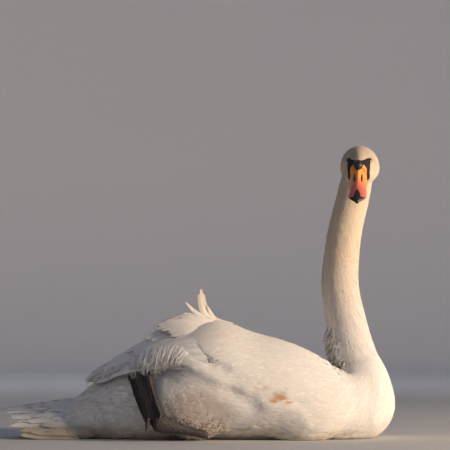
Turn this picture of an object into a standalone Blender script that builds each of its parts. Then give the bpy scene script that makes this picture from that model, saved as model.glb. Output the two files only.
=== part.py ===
"""A life-size mute swan resting on its belly, neck raised, head turned to its right.

Metres, +Z up. The breast points to +X and the bird's right side to -Y. The origin is on
the floor under the middle of the belly. The flesh is lofted from ribs, the wings, tail
and large feathers are curved blades, and every piece is its own closed solid.
"""

import math

import bmesh
import bpy
import numpy as np
from mathutils import Vector

# ---------------------------------------------------------------- driving dimensions
GAP = 0.0004  # clearance between neighbouring solids
MERGE = 0.00005  # points closer than this after a cut are one point
RIGHT, LEFT = -1, 1  # the side of a paired piece, as the sign of its Y

# Ribs of the trunk, rump to neck root: the back's x and z, the belly's x and z, half width.
# Up to the breast they stand upright. There they fan out round FAN, above the crease
# between the back and the neck. A belly below z = 0 is flattened where it rests.
FAN = (0.152, 0.140)
UPRIGHT_RIBS = (
    (-0.374, 0.056, 0.022, 0.026),
    (-0.362, 0.070, 0.010, 0.050),
    (-0.338, 0.093, 0.000, 0.074),
    (-0.300, 0.122, -0.008, 0.097),
    (-0.240, 0.163, -0.012, 0.121),
    (-0.165, 0.201, -0.012, 0.139),
    (-0.080, 0.219, -0.012, 0.150),
    (0.010, 0.197, -0.012, 0.153),
    (0.080, 0.168, -0.012, 0.143),
    (0.125, 0.137, -0.011, 0.132),
)
# Angle of the rib from +X in degrees, its two ends' distances from FAN, half width.
FANNED_RIBS = (
    (-90, 0.024, 0.150, 0.125),
    (-70, 0.030, 0.157, 0.114),
    (-52, 0.035, 0.163, 0.100),
    (-34, 0.027, 0.1515, 0.084),
    (-17, 0.018, 0.1265, 0.068),
    (0, 0.0125, 0.1076, 0.053),
    (15, 0.0115, 0.0965, 0.0404),
)
TRUNK_WIDEST = 0.45  # share of a rib's height, from the belly, where it is widest
TRUNK_POWERS = (2.5, 2.45)  # superellipse powers of the back and of the belly
TRUNK_RINGS, TRUNK_SIDES = 23, 24

# The neck's centre line and radius, from the trunk's last rib into the head.
NECK_LINE = (
    (0.2042, 0.000, 0.1540, 0.0425),
    (0.1920, 0.000, 0.1900, 0.0415),
    (0.1804, 0.002, 0.2410, 0.0395),
    (0.1714, 0.005, 0.2920, 0.0375),
    (0.1722, 0.009, 0.3460, 0.0358),
    (0.1766, 0.012, 0.3844, 0.0346),
    (0.1830, 0.015, 0.4226, 0.0338),
    (0.1890, 0.017, 0.4480, 0.0334),
    (0.1948, 0.018, 0.4704, 0.0330),
    (0.2000, 0.018, 0.4920, 0.0325),
    (0.2055, 0.012, 0.5190, 0.0305),
    (0.2085, 0.000, 0.5440, 0.0255),
)
NECK_RINGS, NECK_SIDES = 22, 16
NECK_PARTS = (("neck_lower", 0, 7), ("neck_middle", 7, 14), ("neck_upper", 14, 21))
NECK_SLIMNESS = 0.95  # the neck's width over its depth

# The head: midpoint between the eyes, its turn from -Y towards -X, its pitch down.
EYES_MIDDLE = (0.2073, -0.020, 0.5520)
HEAD_YAW, HEAD_PITCH = math.radians(6), math.radians(35)
# Ribs of the head along its own forward axis: forward, top, bottom, widest height,
# half width, and the superellipse power of the crown.
HEAD_RIBS = (
    (-0.0510, -0.012, -0.030, -0.021, 0.0080, 2.0),
    (-0.0470, -0.001, -0.044, -0.022, 0.0210, 2.0),
    (-0.0350, 0.0130, -0.058, -0.025, 0.0335, 2.0),
    (-0.0180, 0.0205, -0.063, -0.029, 0.0398, 2.0),
    (0.0000, 0.0210, -0.058, -0.029, 0.0342, 1.7),
    (0.0140, 0.0185, -0.048, -0.026, 0.0285, 1.7),
    (0.0260, 0.0150, -0.040, -0.021, 0.0240, 1.9),
    (0.0360, 0.0105, -0.034, -0.014, 0.0190, 2.0),
)
HEAD_RINGS, HEAD_SIDES = 13, 18
EYE_OFF_MIDDLE, EYE_RADIUS = 0.0224, 0.0058

# Ribs of the bill's halves: forward, top, bottom, half width.
UPPER_BILL_RIBS = (
    (0.0280, 0.0090, -0.0280, 0.0176),
    (0.0420, 0.0035, -0.0285, 0.0178),
    (0.0580, -0.0040, -0.0287, 0.0172),
    (0.0760, -0.0112, -0.0285, 0.0172),
    (0.0900, -0.0158, -0.0279, 0.0178),
    (0.0980, -0.0180, -0.0274, 0.0170),
    (0.1060, -0.0198, -0.0268, 0.0122),
    (0.1120, -0.0214, -0.0262, 0.0066),
    (0.1150, -0.0228, -0.0256, 0.0025),
)
LOWER_BILL_RIBS = (
    (0.0220, -0.0260, -0.0395, 0.0150),
    (0.0400, -0.0265, -0.0385, 0.0155),
    (0.0600, -0.0265, -0.0366, 0.0150),
    (0.0800, -0.0262, -0.0343, 0.0150),
    (0.0960, -0.0255, -0.0318, 0.0145),
    (0.1050, -0.0245, -0.0298, 0.0100),
    (0.1085, -0.0240, -0.0285, 0.0045),
)
BILL_RINGS, BILL_SIDES = 10, 12
# Each horn's section: where it is widest, from its bottom up, and its superellipse powers.
UPPER_BILL_SECTION = (0.22, (2.0, 4.5))
LOWER_BILL_SECTION = (0.75, (3.2, 2.2))
NAIL_SECTION, NAIL_RINGS, NAIL_SIDES = (0.5, (2.4, 2.4)), 7, 10
KNOB_CENTRE, KNOB_RADII = (0.0335, 0.0105), (0.0120, 0.0100, 0.0095)
NAIL_RIBS = (
    (0.0860, -0.0136, -0.0235, 0.0022),
    (0.0900, -0.0146, -0.0240, 0.0044),
    (0.0980, -0.0163, -0.0245, 0.0064),
    (0.1060, -0.0179, -0.0256, 0.0068),
    (0.1120, -0.0196, -0.0268, 0.0056),
    (0.1168, -0.0224, -0.0280, 0.0028),
)

# Ribs of a folded wing, shoulder to tip: x, the top edge's y and z, half width, the
# height where it is widest and the height of the lower edge.
WING_RIBS = (
    (0.214, 0.056, 0.088, 0.080, 0.068, 0.054),
    (0.196, 0.044, 0.112, 0.108, 0.060, 0.040),
    (0.160, 0.026, 0.142, 0.135, 0.052, 0.030),
    (0.110, 0.016, 0.172, 0.153, 0.050, 0.034),
    (0.050, 0.012, 0.1955, 0.165, 0.066, 0.064),
    (-0.010, 0.010, 0.212, 0.171, 0.084, 0.082),
    (-0.075, 0.010, 0.2335, 0.172, 0.108, 0.117),
    (-0.150, 0.012, 0.218, 0.160, 0.128, 0.141),
    (-0.220, 0.014, 0.194, 0.136, 0.132, 0.141),
    (-0.280, 0.020, 0.160, 0.104, 0.124, 0.127),
    (-0.315, 0.030, 0.137, 0.078, 0.116, 0.112),
    (-0.339, 0.042, 0.121, 0.058, 0.110, 0.105),
)
WING_ROWS, WING_COLUMNS = 15, 8
WING_THICKNESS, WING_EDGE = 0.013, 0.0030

# Large feathers raised off each wing: name, half width, and root, middle and tip.
RAISED_FEATHERS = (
    ("tertial_1", 0.0125, ((-0.050, 0.022, 0.226), (-0.094, 0.016, 0.245), (-0.110, 0.010, 0.296))),
    ("tertial_2", 0.0095, ((-0.084, 0.034, 0.224), (-0.112, 0.030, 0.243), (-0.139, 0.024, 0.267))),
    ("tertial_3", 0.0120, ((-0.092, 0.048, 0.219), (-0.122, 0.044, 0.237), (-0.149, 0.038, 0.251))),
    ("tertial_4", 0.0160, ((-0.104, 0.060, 0.213), (-0.142, 0.058, 0.231), (-0.173, 0.048, 0.237))),
    ("tertial_5", 0.0205, ((-0.110, 0.082, 0.203), (-0.158, 0.080, 0.222), (-0.202, 0.064, 0.221))),
    ("tertial_6", 0.0175, ((-0.150, 0.096, 0.190), (-0.192, 0.090, 0.203), (-0.226, 0.072, 0.196))),
)
FEATHER_STATIONS, FEATHER_THICKNESS = 6, 0.0022
PRIMARY = ("primaries", 0.013, ((-0.262, 0.096, 0.124), (-0.296, 0.084, 0.1145), (-0.330, 0.062, 0.103)))

# The tail: an arched fan of feathers, the middle ones longest and highest.
TAIL_FEATHERS = 9
TAIL_ROOT_X, TAIL_TIP_X, TAIL_SIDE_TIP_X = -0.300, -0.512, -0.470
TAIL_ROOT_HALF, TAIL_TIP_HALF = 0.060, 0.092
TAIL_ROOT_TOP, TAIL_TIP_TOP, TAIL_SIDE_TOP = 0.082, 0.0585, 0.010
TAIL_NOTCH, TAIL_ROWS = 0.020, 5
TAIL_ROOT_THICKNESS, TAIL_TIP_THICKNESS = 0.024, 0.0022

# The feathered thigh, a long mound on the flank: centre and radii, tilted nose down.
THIGH_CENTRE, THIGH_RADII = (-0.122, 0.122, 0.074), (0.087, 0.049, 0.072)
THIGH_TILT = math.radians(8)
THIGH_RINGS, THIGH_SIDES = 10, 14

# Legs: the right foot is stowed against the flank, the left one lies under the body.
TARSUS_RADIUS = 0.0068
RIGHT_HEEL, RIGHT_ANKLE = (-0.092, -0.159, 0.0105), (-0.193, -0.176, 0.036)
LEFT_HEEL, LEFT_ANKLE = (-0.130, 0.100, 0.0100), (-0.016, 0.114, 0.0105)
TOE_LENGTHS = (0.108, 0.128, 0.122)  # inner, middle and outer
TOE_RADIUS, WEB_THICKNESS = 0.0046, 0.0030
CLAW_LENGTH, CLAW_RADIUS = 0.013, 0.0030
FOOT_ROWS, FOOT_COLUMNS = 6, 13
FOOT_ROOT_HALF = 0.0090
HALLUX_ROOT, HALLUX_ALONG = (-0.2085, -0.181, 0.045), (-0.10, -0.05, -0.98)
HALLUX_LENGTH, HALLUX_RADIUS = 0.018, 0.0042
# How each foot is held: toes' direction, their facing, spread, bend and share of length shown.
RIGHT_POSE = ((-0.036, 0.050, 0.0965), (-0.45, -0.80, 0.25), math.radians(3), 0.006, 0.80)
LEFT_POSE = ((1, 0.04, -0.03), (0, 0, 1), math.radians(17), 0.0, 1.0)

COLOURS = {  # colour, roughness
    "plumage": ((0.86, 0.83, 0.79), 0.85),
    "bill_orange": ((0.78, 0.27, 0.13), 0.45),
    "bill_black": ((0.018, 0.016, 0.016), 0.50),
    "eye_brown": ((0.020, 0.012, 0.009), 0.10),
    "leg_skin": ((0.060, 0.048, 0.044), 0.65),
    "claw": ((0.025, 0.021, 0.020), 0.40),
}


WHOLE = {}  # every piece's mesh before anything was cut from it


# ---------------------------------------------------------------- curves and meshes
def spline(rows, count):
    """count rows, evenly spaced along the natural cubic spline through the given rows."""
    rows = np.array(rows, float)
    steps = np.linalg.norm(np.diff(rows[:, :3], axis=0), axis=1)
    knots = np.concatenate([[0.0], np.cumsum(steps)])
    n = len(rows)
    matrix, right = np.eye(n), np.zeros_like(rows)
    for i in range(1, n - 1):
        before, after = steps[i - 1], steps[i]
        matrix[i, i - 1 : i + 2] = before, 2 * (before + after), after
        right[i] = 6 * ((rows[i + 1] - rows[i]) / after - (rows[i] - rows[i - 1]) / before)
    bend = np.linalg.solve(matrix, right)
    read = []
    for at in np.linspace(0, knots[-1], count):
        i = min(int(np.searchsorted(knots, at, side="right")) - 1, n - 2)
        step = steps[i]
        a, b = (knots[i + 1] - at) / step, (at - knots[i]) / step
        value = a * rows[i] + b * rows[i + 1]
        value += ((a**3 - a) * bend[i] + (b**3 - b) * bend[i + 1]) * step * step / 6
        read.append(value)
    return np.array(read)


def material(name):
    found = bpy.data.materials.get(name)
    if found:
        return found
    colour, roughness = COLOURS[name]
    made = bpy.data.materials.new(name)
    made.use_nodes = True
    shader = made.node_tree.nodes["Principled BSDF"]
    shader.inputs["Base Color"].default_value = (*colour, 1)
    shader.inputs["Roughness"].default_value = roughness
    made.diffuse_color = (*colour, 1)
    return made


def solid(name, points, faces, slot):
    """A closed mesh object with its normals pointing out."""
    mesh = bpy.data.meshes.new(name)
    mesh.from_pydata([tuple(p) for p in points], [], faces)
    work = bmesh.new()
    work.from_mesh(mesh)
    bmesh.ops.triangulate(work, faces=work.faces, quad_method="SHORT_EDGE")
    bmesh.ops.recalc_face_normals(work, faces=work.faces)
    work.to_mesh(mesh)
    work.free()
    mesh.shade_smooth()
    mesh.materials.append(material(slot))
    made = bpy.data.objects.new(name, mesh)
    bpy.context.scene.collection.objects.link(made)
    WHOLE[name] = mesh.copy()
    return made


def loft(name, rings, slot):
    """A solid through closed rings of equal size, capped at its first and last ring."""
    count = len(rings[0])
    points = [p for ring in rings for p in ring]
    faces = [tuple(range(count)), tuple((len(rings) - 1) * count + k for k in range(count))]
    for i in range(len(rings) - 1):
        for k in range(count):
            a, b = i * count + k, i * count + (k + 1) % count
            faces.append((a, b, b + count, a + count))
    return solid(name, points, faces, slot)


def slab(name, top, bottom, slot):
    """A solid between two grids of equal size, closed round their four edges."""
    rows, columns = len(top), len(top[0])
    points = [p for row in top for p in row] + [p for row in bottom for p in row]
    under = rows * columns
    faces = []
    for i in range(rows - 1):
        for k in range(columns - 1):
            a = i * columns + k
            quad = (a, a + 1, a + columns + 1, a + columns)
            faces += [quad, tuple(under + v for v in quad)]
    rim = [k for k in range(columns)]
    rim += [i * columns + columns - 1 for i in range(1, rows)]
    rim += [(rows - 1) * columns + k for k in range(columns - 2, -1, -1)]
    rim += [i * columns for i in range(rows - 2, 0, -1)]
    for a, b in zip(rim, rim[1:] + rim[:1]):
        faces.append((a, b, under + b, under + a))
    return solid(name, points, faces, slot)


def section(inner, outer, side, half_width, widest, powers, count):
    """A closed superellipse ring from the inner (back) point round to the outer (belly) one."""
    inner, outer, side = Vector(inner), Vector(outer), Vector(side)
    middle = outer.lerp(inner, widest)
    ring = []
    for k in range(count):
        angle = 2 * math.pi * k / count
        across, along = math.cos(angle), math.sin(angle)
        power = powers[0] if along >= 0 else powers[1]
        reach = (inner if along >= 0 else outer) - middle
        out = math.copysign(abs(across) ** (2 / power), across) * half_width
        ring.append(middle + reach * abs(along) ** (2 / power) + side * out)
    return ring


def tube_rings(path, sides, slimness=1.0):
    """Rings round a path of (x, y, z, radius) rows, square to it, with their lateral axis near Y."""
    centres = [Vector(row[:3]) for row in path]
    rings = []
    for i, centre in enumerate(centres):
        ahead = centres[min(i + 1, len(centres) - 1)] - centres[max(i - 1, 0)]
        outward = Vector((0, 1, 0)).cross(ahead).normalized()
        side = ahead.cross(outward).normalized()
        radius = path[i][3]
        rings.append(
            section(
                centre - outward * radius,
                centre + outward * radius,
                side,
                radius * slimness,
                0.5,
                (2.0, 2.0),
                sides,
            )
        )
    return rings


def ellipsoid(name, centre, radii, axes, rings, sides, slot):
    """An ellipsoid whose radii lie along the three given unit axes."""
    centre, axes = Vector(centre), [Vector(a) for a in axes]
    points = []
    for i in range(1, rings):
        polar = math.pi * i / rings
        for k in range(sides):
            turn = 2 * math.pi * k / sides
            unit = (math.cos(polar), math.sin(polar) * math.cos(turn), math.sin(polar) * math.sin(turn))
            points.append(centre + sum((a * (r * u) for a, r, u in zip(axes, radii, unit)), Vector()))
    faces = []
    for i in range(rings - 2):
        for k in range(sides):
            a, b = i * sides + k, i * sides + (k + 1) % sides
            faces.append((a, b, b + sides, a + sides))
    first, last = len(points), len(points) + 1
    points += [centre + axes[0] * radii[0], centre - axes[0] * radii[0]]
    for k in range(sides):
        faces.append((first, (k + 1) % sides, k))
        a = (rings - 2) * sides
        faces.append((last, a + k, a + (k + 1) % sides))
    return solid(name, points, faces, slot)


def keep_main_body(mesh):
    """Drops every loose offcut, keeping the body with the largest surface."""
    work = bmesh.new()
    work.from_mesh(mesh)
    bmesh.ops.remove_doubles(work, verts=work.verts, dist=MERGE)
    bmesh.ops.dissolve_degenerate(work, edges=work.edges, dist=MERGE)
    bodies, seen = [], set()
    for start in work.verts:
        if start in seen:
            continue
        body, queue = {start}, [start]
        while queue:
            for edge in queue.pop().link_edges:
                for vertex in edge.verts:
                    if vertex not in body:
                        body.add(vertex)
                        queue.append(vertex)
        seen |= body
        faces = {face for vertex in body for face in vertex.link_faces}
        bodies.append((sum(face.calc_area() for face in faces), body))
    bodies.sort(key=lambda entry: -entry[0])
    for _, body in bodies[1:]:
        bmesh.ops.delete(work, geom=list(body), context="VERTS")
    work.to_mesh(mesh)
    work.free()


def carve(target, *cutters):
    """Cuts the whole, uncarved shapes of its neighbours, grown by the gap, from target."""
    for cutter in cutters:
        grown = WHOLE[cutter.name].copy()
        normals = [v.normal.copy() for v in grown.vertices]
        for vertex, normal in zip(grown.vertices, normals):
            vertex.co += normal * GAP
        helper = bpy.data.objects.new("cutter", grown)
        bpy.context.scene.collection.objects.link(helper)
        cut = target.modifiers.new("cut", "BOOLEAN")
        cut.operation, cut.solver, cut.object = "DIFFERENCE", "EXACT", helper
        graph = bpy.context.evaluated_depsgraph_get()
        carved = bpy.data.meshes.new_from_object(target.evaluated_get(graph))
        target.modifiers.clear()
        keep_main_body(carved)
        target.data = carved
        bpy.data.objects.remove(helper)
    return target


# ---------------------------------------------------------------- trunk and neck
def trunk_ribs():
    """Every rib as back x and z, belly x and z, half width, and how far it has turned."""
    ribs = [(x, back, x, belly, half, 0.0) for x, back, belly, half in UPRIGHT_RIBS]
    for degrees, near, far, half in FANNED_RIBS:
        ux, uz = math.cos(math.radians(degrees)), math.sin(math.radians(degrees))
        turned = (degrees + 90) / 105
        ends = (FAN[0] + near * ux, FAN[1] + near * uz, FAN[0] + far * ux, FAN[1] + far * uz)
        ribs.append((*ends, half, turned))
    return ribs


def make_trunk():
    rings = []
    control = [((r[0] + r[2]) / 2, (r[1] + r[3]) / 2, 0.0, *r) for r in trunk_ribs()]
    for _, _, _, ix, iz, ox, oz, half, turned in spline(control, TRUNK_RINGS):
        turned = min(max(turned, 0.0), 1.0)
        widest = TRUNK_WIDEST + (0.5 - TRUNK_WIDEST) * turned
        powers = [p + (2.0 - p) * turned for p in TRUNK_POWERS]
        ring = section((ix, 0, iz), (ox, 0, oz), (0, 1, 0), half, widest, powers, TRUNK_SIDES)
        rings.append([Vector((p.x, p.y, max(p.z, 0.0))) for p in ring])
    return loft("trunk", rings, "plumage")


def make_neck():
    path = spline(NECK_LINE, NECK_RINGS)
    rings = tube_rings(path, NECK_SIDES, NECK_SLIMNESS)
    ix, iz, ox, oz, half, _ = trunk_ribs()[-1]
    rings[0] = section((ix, 0, iz), (ox, 0, oz), (0, 1, 0), half, 0.5, (2.0, 2.0), NECK_SIDES)
    made = {}
    for name, first, last in NECK_PARTS:
        length = rings[first : last + 1]
        along = Vector(path[first + 1][:3]) - Vector(path[first][:3])
        length[0] = [p + along.normalized() * GAP for p in length[0]]
        made[name] = loft(name, length, "plumage")
    return made


# ---------------------------------------------------------------- head and bill
def head_axes():
    """The head's forward, left and up unit vectors."""
    level = Vector((-math.sin(HEAD_YAW), -math.cos(HEAD_YAW), 0))
    forward = level * math.cos(HEAD_PITCH) - Vector((0, 0, math.sin(HEAD_PITCH)))
    left = Vector((0, 0, 1)).cross(level)
    return forward, left, forward.cross(left)


def on_head(forward, left, up):
    """A point given in the head's own axes, from the middle between the eyes."""
    axes = head_axes()
    return Vector(EYES_MIDDLE) + axes[0] * forward + axes[1] * left + axes[2] * up


def make_head():
    rings = []
    for along, top, bottom, widest, half, power in spline(HEAD_RIBS, HEAD_RINGS):
        share = (widest - bottom) / (top - bottom)
        ends = on_head(along, 0, top), on_head(along, 0, bottom)
        rings.append(section(*ends, head_axes()[1], half, share, (power, 2.0), HEAD_SIDES))
    return loft("head", rings, "plumage")


def make_bill(name, ribs, slot, widest, powers, count=BILL_RINGS, sides=BILL_SIDES):
    rings = []
    for along, top, bottom, half in spline(ribs, count):
        ends = on_head(along, 0, top), on_head(along, 0, bottom)
        rings.append(section(*ends, head_axes()[1], half, widest, powers, sides))
    return loft(name, rings, slot)


def make_knob():
    centre = on_head(KNOB_CENTRE[0], 0, KNOB_CENTRE[1])
    return ellipsoid("bill_knob", centre, KNOB_RADII, head_axes(), 8, 10, "bill_black")


def make_eyes():
    made = []
    for name, side in (("eye_right", RIGHT), ("eye_left", LEFT)):
        centre = on_head(0, EYE_OFF_MIDDLE * side, 0)
        radii = (EYE_RADIUS,) * 3
        made.append(ellipsoid(name, centre, radii, head_axes(), 7, 9, "eye_brown"))
    return made


# ---------------------------------------------------------------- wings, feathers, tail
def make_wing(name, side):
    outer = []
    for x, y_top, z_top, half, z_low, z_edge in spline(WING_RIBS, WING_ROWS):
        sweep = math.acos(max((z_edge - z_low) / (z_top - z_low), -0.5))
        row = []
        for k in range(WING_COLUMNS):
            angle = sweep * k / (WING_COLUMNS - 1)
            y = y_top + (half - y_top) * math.sin(angle)
            row.append(Vector((x, side * y, z_low + (z_top - z_low) * math.cos(angle))))
        outer.append(row)
    inner = []
    for i, row in enumerate(outer):
        inner.append([])
        for k, point in enumerate(row):
            along = outer[min(i + 1, WING_ROWS - 1)][k] - outer[max(i - 1, 0)][k]
            across = row[min(k + 1, WING_COLUMNS - 1)] - row[max(k - 1, 0)]
            inward = along.cross(across).normalized() * side
            if inward.y * side > 0 or inward.z > 0.7:
                inward.negate()
            bulge = math.sin(math.pi * i / (WING_ROWS - 1)) * math.sin(math.pi * k / (WING_COLUMNS - 1))
            depth = WING_EDGE + (WING_THICKNESS - WING_EDGE) * max(bulge, 0) ** 0.5
            inner[-1].append(point + inward * depth)
    return slab(name, outer, inner, "plumage")


def make_feather(name, side, half_width, path):
    """A leaf-shaped blade along a bent path, its face turned half out and half up."""
    points = [Vector((x, side * y, z)) for x, y, z in spline(path, FEATHER_STATIONS)]
    top, bottom = [], []
    for i, point in enumerate(points):
        share = i / (FEATHER_STATIONS - 1)
        along = points[min(i + 1, len(points) - 1)] - points[max(i - 1, 0)]
        across = along.cross(Vector((0, side * 0.8, 0.6))).normalized()
        face = across.cross(along).normalized()
        leaf = (0.55 + 0.45 * share) * math.sqrt(max(1 - share**5, 0.03))
        spread = across * (half_width * leaf)
        thick = face * (FEATHER_THICKNESS / 2)
        droop = face * (half_width * leaf * 0.18)
        near, far = point - spread - droop, point + spread - droop
        top.append([near + thick / 2, point + thick, far + thick / 2])
        bottom.append([near - thick / 2, point - thick, far - thick / 2])
    return slab(name, top, bottom, "plumage")


def make_tail():
    """An arched fan whose rear edge is cut into one point for each feather."""
    columns = 2 * TAIL_FEATHERS + 1
    top, bottom = [], []
    for i in range(TAIL_ROWS):
        share = i / (TAIL_ROWS - 1)
        upper, lower = [], []
        for k in range(columns):
            v = 2 * k / (columns - 1) - 1
            notch = TAIL_NOTCH if k % 2 == 0 else 0.0
            tip_x = TAIL_TIP_X + (TAIL_SIDE_TIP_X - TAIL_TIP_X) * abs(v) ** 1.6 + notch
            x = TAIL_ROOT_X + (tip_x - TAIL_ROOT_X) * share
            y = v * (TAIL_ROOT_HALF + (TAIL_TIP_HALF - TAIL_ROOT_HALF) * share**0.8)
            ridge = TAIL_ROOT_TOP + (TAIL_TIP_TOP - TAIL_ROOT_TOP) * share
            z = ridge - (ridge - TAIL_SIDE_TOP) * abs(v) ** 2.2
            shrink = 1 - 0.75 * abs(v)
            thick = TAIL_ROOT_THICKNESS + (TAIL_TIP_THICKNESS - TAIL_ROOT_THICKNESS) * share**0.6
            thick = max(thick * shrink, TAIL_TIP_THICKNESS)
            upper.append(Vector((x, y, max(z, TAIL_TIP_THICKNESS))))
            lower.append(Vector((x, y, max(z - thick, 0.0))))
        top.append(upper)
        bottom.append(lower)
    return slab("tail", top, bottom, "plumage")


# ---------------------------------------------------------------- legs and feet
def make_thigh(name, side):
    centre = (THIGH_CENTRE[0], side * THIGH_CENTRE[1], THIGH_CENTRE[2])
    nose = Vector((math.cos(THIGH_TILT), 0, -math.sin(THIGH_TILT)))
    axes = nose, Vector((0, 1, 0)), nose.cross(Vector((0, 1, 0)))
    return ellipsoid(name, centre, THIGH_RADII, axes, THIGH_RINGS, THIGH_SIDES, "plumage")


def make_tarsus(name, heel, ankle):
    """The bare shank, thicker at its two joints."""
    path = []
    for i in range(7):
        share = i / 6
        swell = 1 + 0.32 * (2 * share - 1) ** 4
        end = math.sqrt(max(1 - (2 * share - 1) ** 12, 0.25))
        path.append((*Vector(heel).lerp(Vector(ankle), share), TARSUS_RADIUS * swell * end))
    return loft(name, tube_rings(path, 8, 0.85), "leg_skin")


def make_foot(side, ankle, forward, facing, spread, bend, length_share):
    """Three toes and the webs between them as one solid, with a claw on each toe.

    Toes that are partly drawn in show only length_share of their length.
    """
    name = "right" if side == RIGHT else "left"
    ankle, forward = Vector(ankle), Vector(forward).normalized()
    facing = Vector(facing)
    facing = (facing - forward * facing.dot(forward)).normalized()
    across = forward.cross(facing) * side
    top, bottom, claws = [], [], []
    for i in range(FOOT_ROWS):
        share = i / (FOOT_ROWS - 1)
        upper, lower = [], []
        for k in range(FOOT_COLUMNS):
            v = 2 * k / (FOOT_COLUMNS - 1) - 1
            near, far = (0, 1) if v < 0 else (1, 2)
            mix = v - math.floor(v) if v < 1 else 1.0
            length = TOE_LENGTHS[near] * (1 - mix) + TOE_LENGTHS[far] * mix
            from_toe = abs(v - round(v)) * 2
            length *= length_share * (1 - 0.13 * math.sin(math.pi * from_toe / 2) ** 2)
            reach = length * share
            turn = v * spread
            knuckle = 1 + 0.14 * math.cos(6 * math.pi * share)
            toe = TOE_RADIUS * (1 - 0.5 * share) * knuckle * max(1 - (from_toe / 0.55) ** 2, 0)
            thick = WEB_THICKNESS / 2 + toe
            point = ankle + forward * (0.006 + reach * math.cos(turn))
            point += across * (reach * math.sin(turn) + v * FOOT_ROOT_HALF)
            point += facing * (bend * math.sin(math.pi * share))
            upper.append(point + facing * thick)
            lower.append(point - facing * thick)
        top.append(upper)
        bottom.append(lower)
    for k, part in ((0, "inner"), ((FOOT_COLUMNS - 1) // 2, "middle"), (FOOT_COLUMNS - 1, "outer")):
        tip = top[-1][k].lerp(bottom[-1][k], 0.5)
        along = tip - top[-2][k].lerp(bottom[-2][k], 0.5)
        claws.append(make_claw(f"claw_{name}_{part}", tip, along, facing))
    return [slab(f"foot_{name}", top, bottom, "leg_skin"), *claws]


def make_claw(name, root, along, back):
    """A short curved cone from the end of its toe."""
    along = Vector(along).normalized()
    path = []
    for i in range(5):
        share = i / 4
        centre = Vector(root) + along * (CLAW_LENGTH * share)
        centre -= Vector(back) * (CLAW_LENGTH * 0.18 * share**2)
        path.append((*centre, CLAW_RADIUS * (1 - share) ** 0.7 + 0.0003))
    return loft(name, tube_rings(path, 6), "claw")


def make_hallux(name, root, along):
    """The small raised hind toe and its claw in one piece."""
    root, along = Vector(root), Vector(along).normalized()
    path = []
    for i in range(8):
        share = i / 7
        radius = HALLUX_RADIUS * (1 - share**2.2) + 0.0004
        path.append((*(root + along * (HALLUX_LENGTH * 1.5 * share)), radius))
    return loft(name, tube_rings(path, 8), "leg_skin")


# ---------------------------------------------------------------- the whole bird
def make_legs():
    right_foot = make_foot(RIGHT, RIGHT_ANKLE, *RIGHT_POSE)
    left_foot = make_foot(LEFT, LEFT_ANKLE, *LEFT_POSE)
    return {
        "tarsi": [
            make_tarsus("tarsus_right", RIGHT_HEEL, RIGHT_ANKLE),
            make_tarsus("tarsus_left", LEFT_HEEL, LEFT_ANKLE),
        ],
        "feet": [right_foot, left_foot],
        "hallux": make_hallux("hallux_right", HALLUX_ROOT, HALLUX_ALONG),
    }


def make_swan():
    trunk = make_trunk()
    neck = make_neck()
    head = make_head()
    eyes = make_eyes()
    upper_bill = make_bill("bill_upper", UPPER_BILL_RIBS, "bill_orange", *UPPER_BILL_SECTION)
    lower_bill = make_bill("bill_lower", LOWER_BILL_RIBS, "bill_black", *LOWER_BILL_SECTION)
    nail = make_bill("bill_nail", NAIL_RIBS, "bill_black", *NAIL_SECTION, NAIL_RINGS, NAIL_SIDES)
    knob = make_knob()
    carve(head, *eyes)
    carve(neck["neck_upper"], head, lower_bill)
    carve(upper_bill, head)
    carve(lower_bill, upper_bill, head)
    carve(knob, head, upper_bill)
    carve(nail, upper_bill, lower_bill)

    wings, thighs, raised = [], [], []
    legs = make_legs()
    bare = [*legs["tarsi"], *legs["feet"][0], *legs["feet"][1], legs["hallux"]]
    for word, side in (("right", RIGHT), ("left", LEFT)):
        wings.append(make_wing(f"wing_{word}", side))
        thighs.append(make_thigh(f"thigh_{word}", side))
        for name, half, path in (*RAISED_FEATHERS, PRIMARY):
            raised.append(make_feather(f"{name}_{word}", side, half, path))
    tail = make_tail()
    carve(tail, trunk)
    for (foot, *claws), tarsus in zip(legs["feet"], legs["tarsi"]):
        carve(foot, tarsus)
        for claw in claws:
            carve(claw, foot)
    carve(legs["hallux"], legs["tarsi"][0], legs["feet"][0][0])
    for thigh, wing in zip(thighs, wings):
        carve(thigh, trunk, wing, *bare)
    for feather in raised:
        carve(feather, trunk, *wings)
    carve(trunk, *wings, *bare)


def clear_scene():
    for found in list(bpy.data.objects):
        bpy.data.objects.remove(found)


clear_scene()
make_swan()
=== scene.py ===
"""A life-size mute swan at rest, dressed with skin, feathers, bill, eyes and feet.

Metres, +Z up. The breast points to +X and the bird's right side to -Y. The first tables
repeat the solids' named sizes. One skin covers the flesh, the small feathers are planted
on it, and the large feathers follow the wing, the tail and lines of their own.
"""

import math

import bpy
import numpy as np
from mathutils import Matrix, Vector
from mathutils.bvhtree import BVHTree
from mathutils.kdtree import KDTree


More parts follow.
